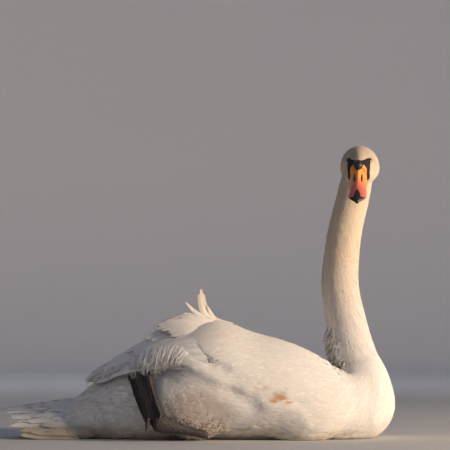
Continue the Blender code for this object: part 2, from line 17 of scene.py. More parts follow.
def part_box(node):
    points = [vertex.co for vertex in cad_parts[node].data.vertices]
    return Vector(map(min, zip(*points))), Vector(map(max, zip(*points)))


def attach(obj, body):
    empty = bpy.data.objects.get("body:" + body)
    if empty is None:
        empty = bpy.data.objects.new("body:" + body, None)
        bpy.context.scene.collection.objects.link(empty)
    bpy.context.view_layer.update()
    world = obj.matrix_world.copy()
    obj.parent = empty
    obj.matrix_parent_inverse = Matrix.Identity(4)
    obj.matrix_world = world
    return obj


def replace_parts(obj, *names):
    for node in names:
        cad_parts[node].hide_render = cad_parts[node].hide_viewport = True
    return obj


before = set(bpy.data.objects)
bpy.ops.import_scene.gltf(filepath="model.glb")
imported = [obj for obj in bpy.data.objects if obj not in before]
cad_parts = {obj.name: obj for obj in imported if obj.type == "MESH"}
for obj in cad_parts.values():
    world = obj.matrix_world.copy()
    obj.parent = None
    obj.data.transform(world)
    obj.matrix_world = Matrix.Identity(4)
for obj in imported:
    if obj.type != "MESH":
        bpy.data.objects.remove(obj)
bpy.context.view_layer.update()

# ---------------------------------------------------------------- the solids' own sizes
# The trunk's upright sections: x, the height of the back and of the belly, and half width.
# Then the sections that fan out round the point FAN: degrees, near and far distance, half width.
FAN = (0.152, 0.140)
UPRIGHT_RIBS = (
    (-0.374, 0.056, 0.022, 0.026),
    (-0.362, 0.070, 0.010, 0.050),
    (-0.338, 0.093, 0.000, 0.074),
    (-0.300, 0.122, -0.008, 0.097),
    (-0.240, 0.163, -0.012, 0.121),
    (-0.165, 0.201, -0.012, 0.139),
    (-0.080, 0.219, -0.012, 0.150),
    (0.010, 0.197, -0.012, 0.153),
    (0.080, 0.168, -0.012, 0.143),
    (0.125, 0.137, -0.011, 0.132),
)
FANNED_RIBS = (
    (-90, 0.024, 0.150, 0.125),
    (-70, 0.030, 0.157, 0.114),
    (-52, 0.035, 0.163, 0.100),
    (-34, 0.027, 0.1515, 0.084),
    (-17, 0.018, 0.1265, 0.068),
    (0, 0.0125, 0.1076, 0.053),
    (15, 0.0115, 0.0965, 0.0404),
)
TRUNK_WIDEST, TRUNK_POWERS = 0.45, (2.5, 2.45)
# The neck's middle line from the trunk up: x, y, z and radius.
NECK_LINE = (
    (0.2042, 0.000, 0.1540, 0.0425),
    (0.1920, 0.000, 0.1900, 0.0415),
    (0.1804, 0.002, 0.2410, 0.0395),
    (0.1714, 0.005, 0.2920, 0.0375),
    (0.1722, 0.009, 0.3460, 0.0358),
    (0.1766, 0.012, 0.3844, 0.0346),
    (0.1830, 0.015, 0.4226, 0.0338),
    (0.1890, 0.017, 0.4480, 0.0334),
    (0.1948, 0.018, 0.4704, 0.0330),
    (0.2000, 0.018, 0.4920, 0.0325),
    (0.2055, 0.012, 0.5190, 0.0305),
    (0.2085, 0.000, 0.5440, 0.0255),
)
NECK_SLIMNESS = 0.95
# The head's sections in its own axes: how far ahead, top, bottom, the height of the widest
# place, half width, and the roundness of the upper half.
HEAD_RIBS = (
    (-0.0510, -0.012, -0.030, -0.021, 0.0080, 2.0),
    (-0.0470, -0.001, -0.044, -0.022, 0.0210, 2.0),
    (-0.0350, 0.0130, -0.058, -0.025, 0.0335, 2.0),
    (-0.0180, 0.0205, -0.063, -0.029, 0.0398, 2.0),
    (0.0000, 0.0210, -0.058, -0.029, 0.0342, 1.7),
    (0.0140, 0.0185, -0.048, -0.026, 0.0285, 1.7),
    (0.0260, 0.0150, -0.040, -0.021, 0.0240, 1.9),
    (0.0360, 0.0105, -0.034, -0.014, 0.0190, 2.0),
)
HEAD_PITCH = math.radians(35)
# The bill's sections in the head's axes: how far ahead, top, bottom and half width.
UPPER_BILL_RIBS = (
    (0.0280, 0.0090, -0.0280, 0.0176),
    (0.0420, 0.0035, -0.0285, 0.0178),
    (0.0580, -0.0040, -0.0287, 0.0172),
    (0.0760, -0.0112, -0.0285, 0.0172),
    (0.0900, -0.0158, -0.0279, 0.0178),
    (0.0980, -0.0180, -0.0274, 0.0170),
    (0.1060, -0.0198, -0.0268, 0.0122),
    (0.1120, -0.0214, -0.0262, 0.0066),
    (0.1150, -0.0228, -0.0256, 0.0025),
)
LOWER_BILL_RIBS = (
    (0.0220, -0.0260, -0.0395, 0.0150),
    (0.0400, -0.0265, -0.0385, 0.0155),
    (0.0600, -0.0265, -0.0366, 0.0150),
    (0.0800, -0.0262, -0.0343, 0.0150),
    (0.0960, -0.0255, -0.0318, 0.0145),
    (0.1050, -0.0245, -0.0298, 0.0100),
    (0.1085, -0.0240, -0.0285, 0.0045),
)
KNOB_CENTRE, KNOB_RADII = (0.0335, 0.0105), (0.0120, 0.0100, 0.0095)
NAIL_RIBS = (
    (0.0860, -0.0136, -0.0235, 0.0022),
    (0.0900, -0.0146, -0.0240, 0.0044),
    (0.0980, -0.0163, -0.0245, 0.0064),
    (0.1060, -0.0179, -0.0256, 0.0068),
    (0.1120, -0.0196, -0.0268, 0.0056),
    (0.1168, -0.0224, -0.0280, 0.0028),
)
# The folded wing's sections: x, the top edge's y and z, half width, and the heights of the
# widest place and of the lower edge.
WING_RIBS = (
    (0.214, 0.056, 0.088, 0.080, 0.068, 0.054),
    (0.196, 0.044, 0.112, 0.108, 0.060, 0.040),
    (0.160, 0.026, 0.142, 0.135, 0.052, 0.030),
    (0.110, 0.016, 0.172, 0.153, 0.050, 0.034),
    (0.050, 0.012, 0.1955, 0.165, 0.066, 0.064),
    (-0.010, 0.010, 0.212, 0.171, 0.084, 0.082),
    (-0.075, 0.010, 0.2335, 0.172, 0.108, 0.117),
    (-0.150, 0.012, 0.218, 0.160, 0.128, 0.141),
    (-0.220, 0.014, 0.194, 0.136, 0.132, 0.141),
    (-0.280, 0.020, 0.160, 0.104, 0.124, 0.127),
    (-0.315, 0.030, 0.137, 0.078, 0.116, 0.112),
    (-0.339, 0.042, 0.121, 0.058, 0.110, 0.105),
)
WING_DEPTH = 0.012
TERTIALS = 6
TAIL_ROOT_X, TAIL_TIP_X, TAIL_SIDE_TIP_X = -0.300, -0.512, -0.470
TAIL_ROOT_HALF, TAIL_TIP_HALF = 0.060, 0.092
TAIL_ROOT_TOP, TAIL_TIP_TOP, TAIL_SIDE_TOP = 0.082, 0.0585, 0.010
THIGH_CENTRE, THIGH_RADII = (-0.122, 0.122, 0.074), (0.087, 0.049, 0.072)
THIGH_TILT = math.radians(8)
# Eggs that fill out each flank: centre and radii.
FLANK_PADS = (
    ((-0.015, 0.112, 0.082), (0.115, 0.056, 0.070)),
    ((0.088, 0.098, 0.042), (0.085, 0.052, 0.050)),
)
TARSUS_RADIUS = 0.0068
# Each leg's heel and ankle, its toes' direction, facing, spread and bend, and their share of length.
LEGS = {
    "right": (
        (-0.092, -0.159, 0.0105),
        (-0.193, -0.176, 0.036),
        (-0.036, 0.050, 0.0965),
        (-0.45, -0.80, 0.25),
        math.radians(2),
        0.006,
        0.93,
    ),
    "left": (
        (-0.130, 0.100, 0.0100),
        (-0.016, 0.114, 0.0105),
        (1, 0.04, -0.03),
        (0, 0, 1),
        math.radians(17),
        0.0,
        1.0,
    ),
}
TOE_LENGTHS = (0.108, 0.128, 0.122)
TOE_RADIUS, WEB_THICKNESS = 0.0046, 0.0030
FOOT_ROOT_HALF = 0.0090
FOOT_ROOT_HALVES = {"right": 0.0180, "left": 0.0110}
CLAW_LENGTH, CLAW_RADIUS = 0.013, 0.0030
HALLUX_ROOT, HALLUX_ALONG = (-0.2085, -0.181, 0.045), (-0.10, -0.05, -0.98)
HALLUX_LENGTH, HALLUX_RADIUS = 0.018, 0.0042

SIDES = (("right", -1), ("left", 1))
TRUNK, NECK, HEAD, WING, THIGH = range(5)
FLOOR_GAP = 0.0004


# ---------------------------------------------------------------- small mathematics
def unit(v):
    return v / np.maximum(np.linalg.norm(v, axis=-1, keepdims=True), 1e-9)


def ease(low, high, x):
    t = np.clip((np.asarray(x, float) - low) / (high - low), 0, 1)
    return t * t * (3 - 2 * t)


def dot(a, b):
    return (a * b).sum(-1, keepdims=True)


def spline(rows, places):
    """The natural cubic spline through the rows, read at places from 0 to 1."""
    rows = np.array(rows, float)
    steps = np.linalg.norm(np.diff(rows[:, :3], axis=0), axis=1)
    knots = np.concatenate([[0.0], np.cumsum(steps)])
    n = len(rows)
    matrix, right = np.eye(n), np.zeros_like(rows)
    for i in range(1, n - 1):
        before, after = steps[i - 1], steps[i]
        matrix[i, i - 1 : i + 2] = before, 2 * (before + after), after
        right[i] = 6 * ((rows[i + 1] - rows[i]) / after - (rows[i] - rows[i - 1]) / before)
    bend = np.linalg.solve(matrix, right)
    at = np.clip(np.asarray(places, float), 0, 1) * knots[-1]
    i = np.clip(np.searchsorted(knots, at, side="right") - 1, 0, n - 2)
    step = steps[i][..., None]
    a, b = (knots[i + 1] - at)[..., None] / step, (at - knots[i])[..., None] / step
    cubic = (a**3 - a) * bend[i] + (b**3 - b) * bend[i + 1]
    return a * rows[i] + b * rows[i + 1] + cubic * step * step / 6


def sections(inner, outer, side, half, widest, powers, count):
    """Closed superellipse rings (rows, count, 3) from each inner point to its outer one."""
    angle = 2 * math.pi * np.arange(count) / count
    across, along = np.cos(angle)[None, :, None], np.sin(angle)[None, :, None]
    inner, outer = np.asarray(inner)[:, None], np.asarray(outer)[:, None]
    side = np.broadcast_to(np.asarray(side, float), (len(inner), 3))[:, None]
    half, widest = np.asarray(half)[:, None, None], np.asarray(widest)[:, None, None]
    power = np.where(along >= 0, np.asarray(powers[0])[:, None, None], np.asarray(powers[1])[:, None, None])
    middle = outer + (inner - outer) * widest
    reach = np.where(along >= 0, inner, outer) - middle
    out = np.sign(across) * np.abs(across) ** (2 / power) * half
    return middle + reach * np.abs(along) ** (2 / power) + side * out


def tube(path, count, slimness=1.0):
    """Rings round a path of (x, y, z, radius) rows, square to it."""
    path = np.asarray(path, float)
    ahead = np.gradient(path[:, :3], axis=0)
    outward = unit(np.cross((0, 1, 0), ahead))
    side = unit(np.cross(ahead, outward))
    centre, radius = path[:, :3], path[:, 3]
    two = np.full(len(path), 2.0)
    reach = outward * radius[:, None]
    return sections(centre - reach, centre + reach, side, radius * slimness, two / 4, (two, two), count)


def lattice(rows, columns, closed):
    """The quads of a grid of points, joined up between its last column and first if closed."""
    i, k = np.meshgrid(np.arange(rows - 1), np.arange(columns if closed else columns - 1), indexing="ij")
    after = (k + 1) % columns
    here, ahead = i * columns, (i + 1) * columns
    quads = np.stack([here + k, here + after, ahead + after, ahead + k], -1)
    return quads.reshape(-1, 4)


def closed_tube(rings):
    """Points and faces of a solid through rings, closed at both ends with a middle point."""
    rows, count = rings.shape[:2]
    points = np.concatenate([rings.reshape(-1, 3), [rings[0].mean(0)], [rings[-1].mean(0)]])
    k = np.arange(count)
    after = (k + 1) % count
    first, last = rows * count, rows * count + 1
    top = (rows - 1) * count
    start_cap = np.stack([np.full(count, first), after, k], -1)
    end_cap = np.stack([np.full(count, last), top + k, top + after], -1)
    return points, [lattice(rows, count, True), np.concatenate([start_cap, end_cap])]


def closed_slab(top, bottom):
    """Points and faces of a solid between two grids of equal size."""
    rows, columns = top.shape[:2]
    under = rows * columns
    quads = lattice(rows, columns, False)
    rim = [*range(columns), *(i * columns + columns - 1 for i in range(1, rows))]
    rim += [(rows - 1) * columns + k for k in range(columns - 2, -1, -1)]
    rim += [i * columns for i in range(rows - 2, 0, -1)]
    rim = np.array(rim)
    after = np.roll(rim, -1)
    wall = np.stack([after, rim, under + rim, under + after], -1)
    points = np.concatenate([top.reshape(-1, 3), bottom.reshape(-1, 3)])
    return points, [np.concatenate([quads, quads[:, ::-1] + under, wall])]


def ball_grid(rows, count, margin):
    """Unit vectors over a ball, in rings round X that stop an angle short of its poles."""
    polar = np.linspace(margin, math.pi - margin, rows)
    turn = np.linspace(0, 2 * math.pi, count + 1)[:-1]
    polar, turn = np.meshgrid(polar, turn, indexing="ij")
    return np.stack([np.cos(polar), np.sin(polar) * np.cos(turn), np.sin(polar) * np.sin(turn)], -1)


RIPPLE_WAVES = 7


def ripple(points, scale, seed):
    """Smooth wandering values, mostly from -1 to 1: a few crossed waves of about one wavelength."""
    draw = np.random.default_rng(seed)
    total = np.zeros(points.shape[:-1])
    for _ in range(RIPPLE_WAVES):
        wave = unit(draw.normal(size=3)) * 2 * math.pi / (scale * draw.uniform(0.6, 1.7))
        total += np.sin(points @ wave + draw.uniform(0, 6.3))
    return total / (RIPPLE_WAVES / 2)


def joined(rows):
    """The paths, facings and half widths of several rows of blades, each as one array."""
    return [np.concatenate(found) for found in zip(*rows)]


# ---------------------------------------------------------------- meshes and objects
def signed_volume(points, faces):
    total = 0.0
    for block in faces:
        for k in range(1, block.shape[1] - 1):
            a, b, c = points[block[:, 0]], points[block[:, k]], points[block[:, k + 1]]
            total += (a * np.cross(b, c)).sum()
    return total


def outward(points, faces):
    """The faces, turned over if they enclose the points inside out."""
    if signed_volume(points - points.mean(0), faces) < 0:
        return [block[:, ::-1] for block in faces]
    return faces


def link_object(name, data):
    made = bpy.data.objects.new(name, data)
    bpy.context.scene.collection.objects.link(made)
    return made


def piece(name, points, faces, material, slot, uv=None, extra=None, facing=None):
    """A closed mesh object on the root body. uv, extra and facing hold one row for each point."""
    points = np.array(points, np.float64)
    faces = outward(points, faces)
    points[:, 2] = np.maximum(points[:, 2], FLOOR_GAP)
    mesh = bpy.data.meshes.new(name)
    mesh.vertices.add(len(points))
    mesh.vertices.foreach_set("co", points.astype(np.float32).ravel())
    corners = np.concatenate([block.ravel() for block in faces]).astype(np.int32)
    sizes = np.concatenate([np.full(len(block), block.shape[1]) for block in faces])
    mesh.loops.add(len(corners))
    mesh.loops.foreach_set("vertex_index", corners)
    mesh.polygons.add(len(sizes))
    starts = np.concatenate([[0], np.cumsum(sizes)[:-1]]).astype(np.int32)
    mesh.polygons.foreach_set("loop_start", starts)
    mesh.update(calc_edges=True)
    mesh.shade_smooth()
    for layer, values in (uv or {}).items():
        found = mesh.uv_layers.new(name=layer)
        found.data.foreach_set("uv", values[corners].astype(np.float32).ravel())
    for layer, values in (extra or {}).items():
        found = mesh.attributes.new(layer, "FLOAT", "POINT")
        found.data.foreach_set("value", values.astype(np.float32))
    if facing is not None:
        mesh.normals_split_custom_set_from_vertices(facing)
    mesh.materials.append(material)
    made = link_object(name, mesh)
    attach(made, "root")
    return made


# ---------------------------------------------------------------- materials
class Paint:
    """A material under construction: each call adds its nodes and returns their output."""

    def __init__(self, name, roughness, specular=0.5, sheen=0.0, coat=0.0):
        self.made = bpy.data.materials.new(name)
        self.made.use_nodes = True
        self.tree = self.made.node_tree
        self.shader = self.tree.nodes["Principled BSDF"]
        self.shader.inputs["Roughness"].default_value = roughness
        self.shader.inputs["Specular IOR Level"].default_value = specular
        self.shader.inputs["Sheen Weight"].default_value = sheen
        self.shader.inputs["Coat Weight"].default_value = coat
        self.place = self.node("ShaderNodeTexCoord").outputs["Object"]

    def node(self, kind, **settings):
        made = self.tree.nodes.new(kind)
        for key, value in settings.items():
            setattr(made, key, value)
        return made

    def feed(self, socket, value):
        if isinstance(value, bpy.types.NodeSocket):
            self.tree.links.new(value, socket)
        else:
            socket.default_value = value

    def maths(self, operation, *values):
        made = self.node("ShaderNodeMath", operation=operation)
        for socket, value in zip(made.inputs, values):
            self.feed(socket, value)
        return made.outputs[0]

    def times(self, *values):
        return self.maths("MULTIPLY", *values)

    def ramp(self, value, start, slope, level):
        """The level as far as the start, and then rising by the slope."""
        past = self.maths("MAXIMUM", self.maths("SUBTRACT", value, start), 0.0)
        return self.maths("MULTIPLY_ADD", past, slope, level)

    def mapped(self, scale, turn=(0, 0, 0), place=None):
        made = self.node("ShaderNodeMapping")
        self.feed(made.inputs["Vector"], place or self.place)
        made.inputs["Rotation"].default_value = turn
        made.inputs["Scale"].default_value = scale
        return made.outputs[0]

    def noise(self, scale, detail=2.0, place=None, rough=0.5):
        made = self.node("ShaderNodeTexNoise")
        self.feed(made.inputs["Vector"], place or self.place)
        made.inputs["Scale"].default_value = scale
        made.inputs["Detail"].default_value = detail
        made.inputs["Roughness"].default_value = rough
        return made.outputs["Fac"]

    def cells(self, scale):
        made = self.node("ShaderNodeTexVoronoi")
        self.feed(made.inputs["Vector"], self.place)
        made.inputs["Scale"].default_value = scale
        return made.outputs["Distance"]

    def span(self, value, low, high, to_low=0.0, to_high=1.0):
        made = self.node("ShaderNodeMapRange", interpolation_type="SMOOTHSTEP")
        for socket, given in zip(made.inputs, (value, low, high, to_low, to_high)):
            self.feed(socket, given)
        return made.outputs[0]

    def attribute(self, name):
        return self.node("ShaderNodeAttribute", attribute_name=name).outputs["Fac"]

    def shift(self, centre, place=None):
        """The place as seen from a centre."""
        made = self.node("ShaderNodeVectorMath", operation="SUBTRACT")
        self.feed(made.inputs[0], place or self.place)
        made.inputs[1].default_value = centre
        return made.outputs[0]

    def length(self, value):
        made = self.node("ShaderNodeVectorMath", operation="LENGTH")
        self.feed(made.inputs[0], value)
        return made.outputs["Value"]

    def part(self, axis):
        made = self.node("ShaderNodeSeparateXYZ")
        self.feed(made.inputs[0], self.place)
        return made.outputs[axis]

    def both_sides(self):
        """The place with its Y made positive, for markings that both sides share."""
        made = self.node("ShaderNodeCombineXYZ")
        beside = self.maths("ABSOLUTE", self.part("Y"))
        for socket, value in zip(made.inputs, (self.part("X"), beside, self.part("Z"))):
            self.feed(socket, value)
        return made.outputs[0]

    def blot(self, centre, radii, turn, place=None):
        """A soft-edged egg round a point, turned about Y: 1 in its inner half and 0 outside."""
        from_centre = self.shift(centre, place)
        scaled = self.mapped([1 / r for r in radii], turn=(0, turn, 0), place=from_centre)
        return self.span(self.length(scaled), 1.0, 0.5)

    def mix(self, factor, first, second):
        made = self.node("ShaderNodeMix", data_type="RGBA")
        for key, value in (("Factor_Float", factor), ("A_Color", first), ("B_Color", second)):
            socket = next(s for s in made.inputs if s.identifier == key)
            if isinstance(value, tuple) and len(value) == 3:
                value = (*value, 1)
            self.feed(socket, value)
        return next(s for s in made.outputs if s.identifier == "Result_Color")

    def tint(self, colour, mask, strength, shade):
        """The colour with a shade over it where the mask is 1, by the strength."""
        return self.mix(self.times(mask, strength), colour, shade)

    def bump(self, height, strength, distance):
        made = self.node("ShaderNodeBump")
        self.feed(made.inputs["Height"], height)
        made.inputs["Strength"].default_value = strength
        made.inputs["Distance"].default_value = distance
        self.feed(self.shader.inputs["Normal"], made.outputs[0])

    def colour(self, value):
        self.feed(self.shader.inputs["Base Color"], value)
        return self.made


# Stains of the plumage, and on each thigh a painted shade with tan soiling: the centre and radii of a soft
# egg, and its turn about Y.
RUST_SPOT = ((0.048, -0.160, 0.078), (0.030, 0.05, 0.014), -0.2)
GREY_SPOT = ((0.046, -0.160, 0.092), (0.018, 0.05, 0.008), 0.5)
RUST_TRAIL = ((0.012, -0.160, 0.102), (0.024, 0.05, 0.005), 0.35)
# painted shade: each thigh darkened where the wing's bulge shades it, mixed with real tan soiling
THIGH_SHADE_AND_SOIL = ((-0.115, 0.16, 0.050), (0.090, 0.09, 0.062), 0.0)


def plumage_colour(paint, base):
    """The coat's white with its cream mottling, stains, soiled lower edges, and a painted shade with tan
    soiling on the thighs.
    """
    along, height = paint.part("X"), paint.part("Z")
    streaks = paint.noise(26, 4, paint.mapped((1.0, 1.0, 4.5), turn=(0, 0.35, 0)))
    patches = paint.span(paint.noise(45, 4), 0.35, 0.65, 0.25, 1.0)
    cloudy = paint.span(paint.noise(9, 3), 0.35, 0.75)
    rust = paint.times(paint.blot(*RUST_SPOT), paint.span(streaks, 0.45, 0.62))
    grey = paint.times(paint.blot(*GREY_SPOT), paint.span(streaks, 0.40, 0.55))
    neck, crown = paint.span(height, 0.14, 0.40), paint.span(height, 0.525, 0.56)
    # the thigh mask: painted shade under the wing's bulge, with tan soiling
    thigh = paint.blot(*THIGH_SHADE_AND_SOIL, place=paint.both_sides())
    soil = paint.times(paint.span(height, 0.045, 0.0), patches)
    undertail = paint.times(paint.span(along, -0.25, -0.32), paint.span(height, 0.034, 0.016))
    stains = (
        (cloudy, 0.35, (0.86, 0.79, 0.68)),
        (rust, 0.90, (0.62, 0.29, 0.09)),
        (grey, 0.60, (0.40, 0.31, 0.26)),
        (paint.blot(*RUST_TRAIL), 0.35, (0.72, 0.45, 0.22)),
        (neck, 0.88, (0.81, 0.63, 0.44)),
        (crown, 0.70, (0.54, 0.44, 0.34)),
        # painted shade with tan soiling on each thigh
        (thigh, 0.75, (0.57, 0.45, 0.39)),
        (soil, 0.35, (0.60, 0.46, 0.30)),
        (undertail, 0.75, (0.36, 0.27, 0.17)),
    )
    colour = base
    for mask, strength, shade in stains:
        colour = paint.tint(colour, mask, strength, shade)
    return colour


def feather_paint(name, base, soil=None):
    """Soft feather vanes. soil is the colour of dirty patches and their strength."""
    paint = Paint(name, 0.82, 0.25, sheen=0.12)
    paint.shader.inputs["Subsurface Weight"].default_value = 0.3
    paint.shader.inputs["Subsurface Radius"].default_value = (1.0, 0.8, 0.65)
    paint.shader.inputs["Subsurface Scale"].default_value = 0.004
    colour = plumage_colour(paint, base)
    colour = paint.tint(colour, paint.span(paint.attribute("tone"), 0.0, 1.0), 0.16, (0.66, 0.62, 0.60))
    if soil:
        patches = paint.span(paint.noise(60, 4), 0.35, 0.62)
        colour = paint.tint(colour, patches, soil[1], soil[0])
    vane = paint.node("ShaderNodeUVMap", uv_map="vane").outputs[0]
    barbs = paint.noise(1.0, 3, paint.mapped((900, 160, 1), place=vane), 0.6)
    paint.bump(barbs, 0.35, 0.0006)
    return paint.colour(colour)


# ---------------------------------------------------------------- the head's own axes
def middle_of(node):
    low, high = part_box(node)
    return np.array((low + high) / 2)


EYE_RIGHT, EYE_LEFT = middle_of("eye_right"), middle_of("eye_left")
EYES_MIDDLE = (EYE_RIGHT + EYE_LEFT) / 2
LEFTWARD = unit(EYE_LEFT - EYE_RIGHT)
LEVEL = unit(np.cross(LEFTWARD, (0, 0, 1)))
FORWARD = LEVEL * math.cos(HEAD_PITCH) - np.array((0, 0, math.sin(HEAD_PITCH)))
UPWARD = np.cross(FORWARD, LEFTWARD)
HEAD_AXES = np.array([FORWARD, LEFTWARD, UPWARD])
EYE_RADIUS, EYE_SINK = 0.0055, 0.0027


def on_head(along, left, up):
    """Points from coordinates in the head's axes, measured from between the eyes."""
    local = np.stack(np.broadcast_arrays(*(np.asarray(v, float) for v in (along, left, up))), -1)
    return EYES_MIDDLE + local @ HEAD_AXES


def in_head(points):
    return (points - EYES_MIDDLE) @ HEAD_AXES.T


# The black face in the head's axes: it lies ahead of a slanting line through the eye, or
# beside the gape, and below a line to the knob, or ahead of the front feathers' edge.
LORE_SLOPE, LORE_START = 0.524, 0.0014
GAPE_START, GAPE_LOW = 0.0265, -0.0300
BROW_SLOPE, BROW_TOP = 0.33, 0.0062
MASK_SLANT, MASK_FRONT = 0.08, 0.0255
LID_HALVES, LID_RISE, LID_SIDE = (0.0038, 0.0048), 0.0012, 0.012


def bare_face(points):
    """True on the naked black skin between the eyes and the bill, and round each eye."""
    local = in_head(points)
    along, side, up = local[..., 0], np.abs(local[..., 1]), local[..., 2]
    front = (up + LORE_SLOPE * along > LORE_START) | ((along > GAPE_START) & (up > GAPE_LOW))
    below = (up < BROW_TOP + BROW_SLOPE * along) | (along > MASK_FRONT - MASK_SLANT * side)
    lore = front & below & (along > 0.001)
    lid = (along / LID_HALVES[0]) ** 2 + ((up - LID_RISE) / LID_HALVES[1]) ** 2 < 1
    return lore | (lid & (side > LID_SIDE))


# ---------------------------------------------------------------- flesh shapes
def trunk_rings(rows, count):
    """The trunk's rings: upright from the tail to the breast, then fanned down under it."""
    ribs = [(x, back, x, belly, half, 0.0) for x, back, belly, half in UPRIGHT_RIBS]
    first, last = FANNED_RIBS[0][0], FANNED_RIBS[-1][0]
    for degrees, near, far, half in FANNED_RIBS:
        ux, uz = math.cos(math.radians(degrees)), math.sin(math.radians(degrees))
        turned = (degrees - first) / (last - first)
        inner = FAN[0] + near * ux, FAN[1] + near * uz
        ribs.append((*inner, FAN[0] + far * ux, FAN[1] + far * uz, half, turned))
    control = [((r[0] + r[2]) / 2, (r[1] + r[3]) / 2, 0.0, *r) for r in ribs]
    ix, iz, ox, oz, half, turned = spline(control, np.linspace(0, 1, rows))[:, 3:].T
    turned = np.clip(turned, 0, 1)
    zero = np.zeros(rows)
    widest = TRUNK_WIDEST + (0.5 - TRUNK_WIDEST) * turned
    powers = [p + (2.0 - p) * turned for p in TRUNK_POWERS]
    inner, outer = np.stack([ix, zero, iz], -1), np.stack([ox, zero, oz], -1)
    rings = sections(inner, outer, (0, 1, 0), half, widest, powers, count)
    rings[..., 2] = np.maximum(rings[..., 2], 0)
    return rings


def head_rings(rows, count):
    along, top, bottom, widest, half, power = spline(HEAD_RIBS, np.linspace(0, 1, rows)).T
    share = (widest - bottom) / (top - bottom)
    ends = on_head(along, 0, top), on_head(along, 0, bottom)
    return sections(*ends, LEFTWARD, half, share, (power, np.full(rows, 2.0)), count)


def wing_point(u, v, side):
    """A point on the folded wing: u from shoulder to tip, v from its top edge to its lower one."""
    u, v = np.broadcast_arrays(np.asarray(u, float), np.asarray(v, float))
    x, y_top, z_top, half, z_low, z_edge = np.moveaxis(spline(WING_RIBS, u), -1, 0)
    sweep = np.arccos(np.maximum((z_edge - z_low) / (z_top - z_low), -0.5))
    y = y_top + (half - y_top) * np.sin(sweep * v)
    z = z_low + (z_top - z_low) * np.cos(sweep * v)
    point = np.stack([x, side * y, z], -1)
    beyond = np.maximum(u - 1, 0)[..., None]
    if beyond.max() > 0:
        ahead = wing_point(np.ones_like(u), v, side) - wing_point(np.full_like(u, 0.97), v, side)
        point = point + beyond * ahead / 0.03
    return point


def wing_normal(u, v, side):
    u = np.minimum(u, 1.0)
    along = wing_point(np.minimum(u + 0.01, 1), v, side) - wing_point(u - 0.01, v, side)
    across = wing_point(u, v + 0.02, side) - wing_point(u, v - 0.02, side)
    normal = unit(np.cross(along, across)) * side
    return normal * np.where(normal[..., 1:2] * side + normal[..., 2:] > 0, 1, -1)


WING_EDGE_DEPTH = 0.003


def wing_solid(side):
    u, v = np.meshgrid(np.linspace(0, 1, 60), np.linspace(0, 1, 24), indexing="ij")
    top = wing_point(u, v, side)
    bulge = np.sin(math.pi * u) * np.sin(math.pi * v)
    depth = WING_EDGE_DEPTH + (WING_DEPTH - WING_EDGE_DEPTH) * np.maximum(bulge, 0) ** 0.5
    return closed_slab(top, top - wing_normal(u, v, side) * depth[..., None])


EDGE_PAD_SPAN, EDGE_PAD_RADIUS = (0.03, 0.66), 0.0245
EDGE_PAD_INSET, EDGE_PAD_DROP = 0.0235, 0.004


def edge_solid(side):
    """The soft flank feathers that fill the hollow behind the wing's lower edge."""
    rows = 60
    u = np.linspace(*EDGE_PAD_SPAN, rows)
    inset = wing_normal(u, 1.0, side) * EDGE_PAD_INSET
    centre = wing_point(u, 1.0, side) - inset - np.array((0, 0, EDGE_PAD_DROP))
    radius = EDGE_PAD_RADIUS * np.sqrt(np.maximum(1 - np.abs(np.linspace(-1, 1, rows)) ** 6, 0.05))
    centre[:, 2] = np.maximum(centre[:, 2], radius)
    return closed_tube(tube(np.column_stack([centre, radius]), 28))


def egg_solid(centre, radii, tilt, side):
    """An egg on one side of the body, its front tilted down."""
    nose = np.array((math.cos(tilt), 0, -math.sin(tilt)))
    beside = np.array((0.0, 1.0, 0.0))
    axes = np.array([nose, beside, np.cross(nose, beside)])
    centre = np.array((centre[0], side * centre[1], centre[2]))
    return closed_tube(centre + (ball_grid(34, 40, 0.02) * radii) @ axes)


NECK_PATH = spline(NECK_LINE, np.linspace(0, 1, 90))


def neck_solid():
    """The neck, with one more ring at its foot so that it starts inside the trunk."""
    first = tube(NECK_PATH, 48, NECK_SLIMNESS)
    low = NECK_PATH[0].copy()
    low[:3] += (NECK_PATH[0, :3] - NECK_PATH[3, :3]) * 1.2
    low[3] *= 0.7
    return closed_tube(np.concatenate([tube(np.array([low, NECK_PATH[0]]), 48, NECK_SLIMNESS)[:1], first]))


# Shallow forms of the coat on each flank: depth, half width, and a line of x and z.
FLANK_FORMS = (
    (-0.0050, 0.018, ((-0.048, 0.098), (-0.024, 0.084), (-0.006, 0.070))),
    (-0.0045, 0.009, ((-0.128, 0.186), (-0.112, 0.166), (-0.088, 0.150), (-0.060, 0.142))),
    (0.0020, 0.013, ((0.016, 0.072), (0.050, 0.068), (0.084, 0.058), (0.098, 0.036))),
    (-0.0014, 0.009, ((0.022, 0.083), (0.056, 0.080), (0.090, 0.069))),
    (0.0030, 0.010, ((-0.160, 0.146), (-0.125, 0.142), (-0.068, 0.116), (-0.020, 0.098))),
)


def flank_relief(points):
    """How far the flank forms push the skin out at each point."""
    out = np.zeros(len(points))
    flank = ease(0.05, 0.10, np.abs(points[:, 1]))
    for depth, half, line in FLANK_FORMS:
        near = np.full(len(points), np.inf)
        for start, end in zip(np.array(line[:-1]), np.array(line[1:])):
            step = end - start
            share = np.clip(((points[:, ::2] - start) @ step) / (step @ step), 0, 1)
            near = np.minimum(near, np.linalg.norm(points[:, ::2] - start - share[:, None] * step, axis=1))
        out += depth * np.exp(-((near / half) ** 2)) * flank
    return out


# ---------------------------------------------------------------- one skin over the flesh
SKIN_VOXEL, SKIN_LOWEST = 0.0038, 0.002
FLESH = ["trunk", "neck_lower", "neck_middle", "neck_upper", "head"]
FLESH += ["thigh_right", "thigh_left", "wing_right", "wing_left"]
COAT_DEPTH = {TRUNK: 0.0018, NECK: 0.0022, HEAD: 0.0013, WING: 0.0016, THIGH: 0.0018}
BILL_COAT_DEPTH, WING_COAT_SHARE = 0.0012, 0.35


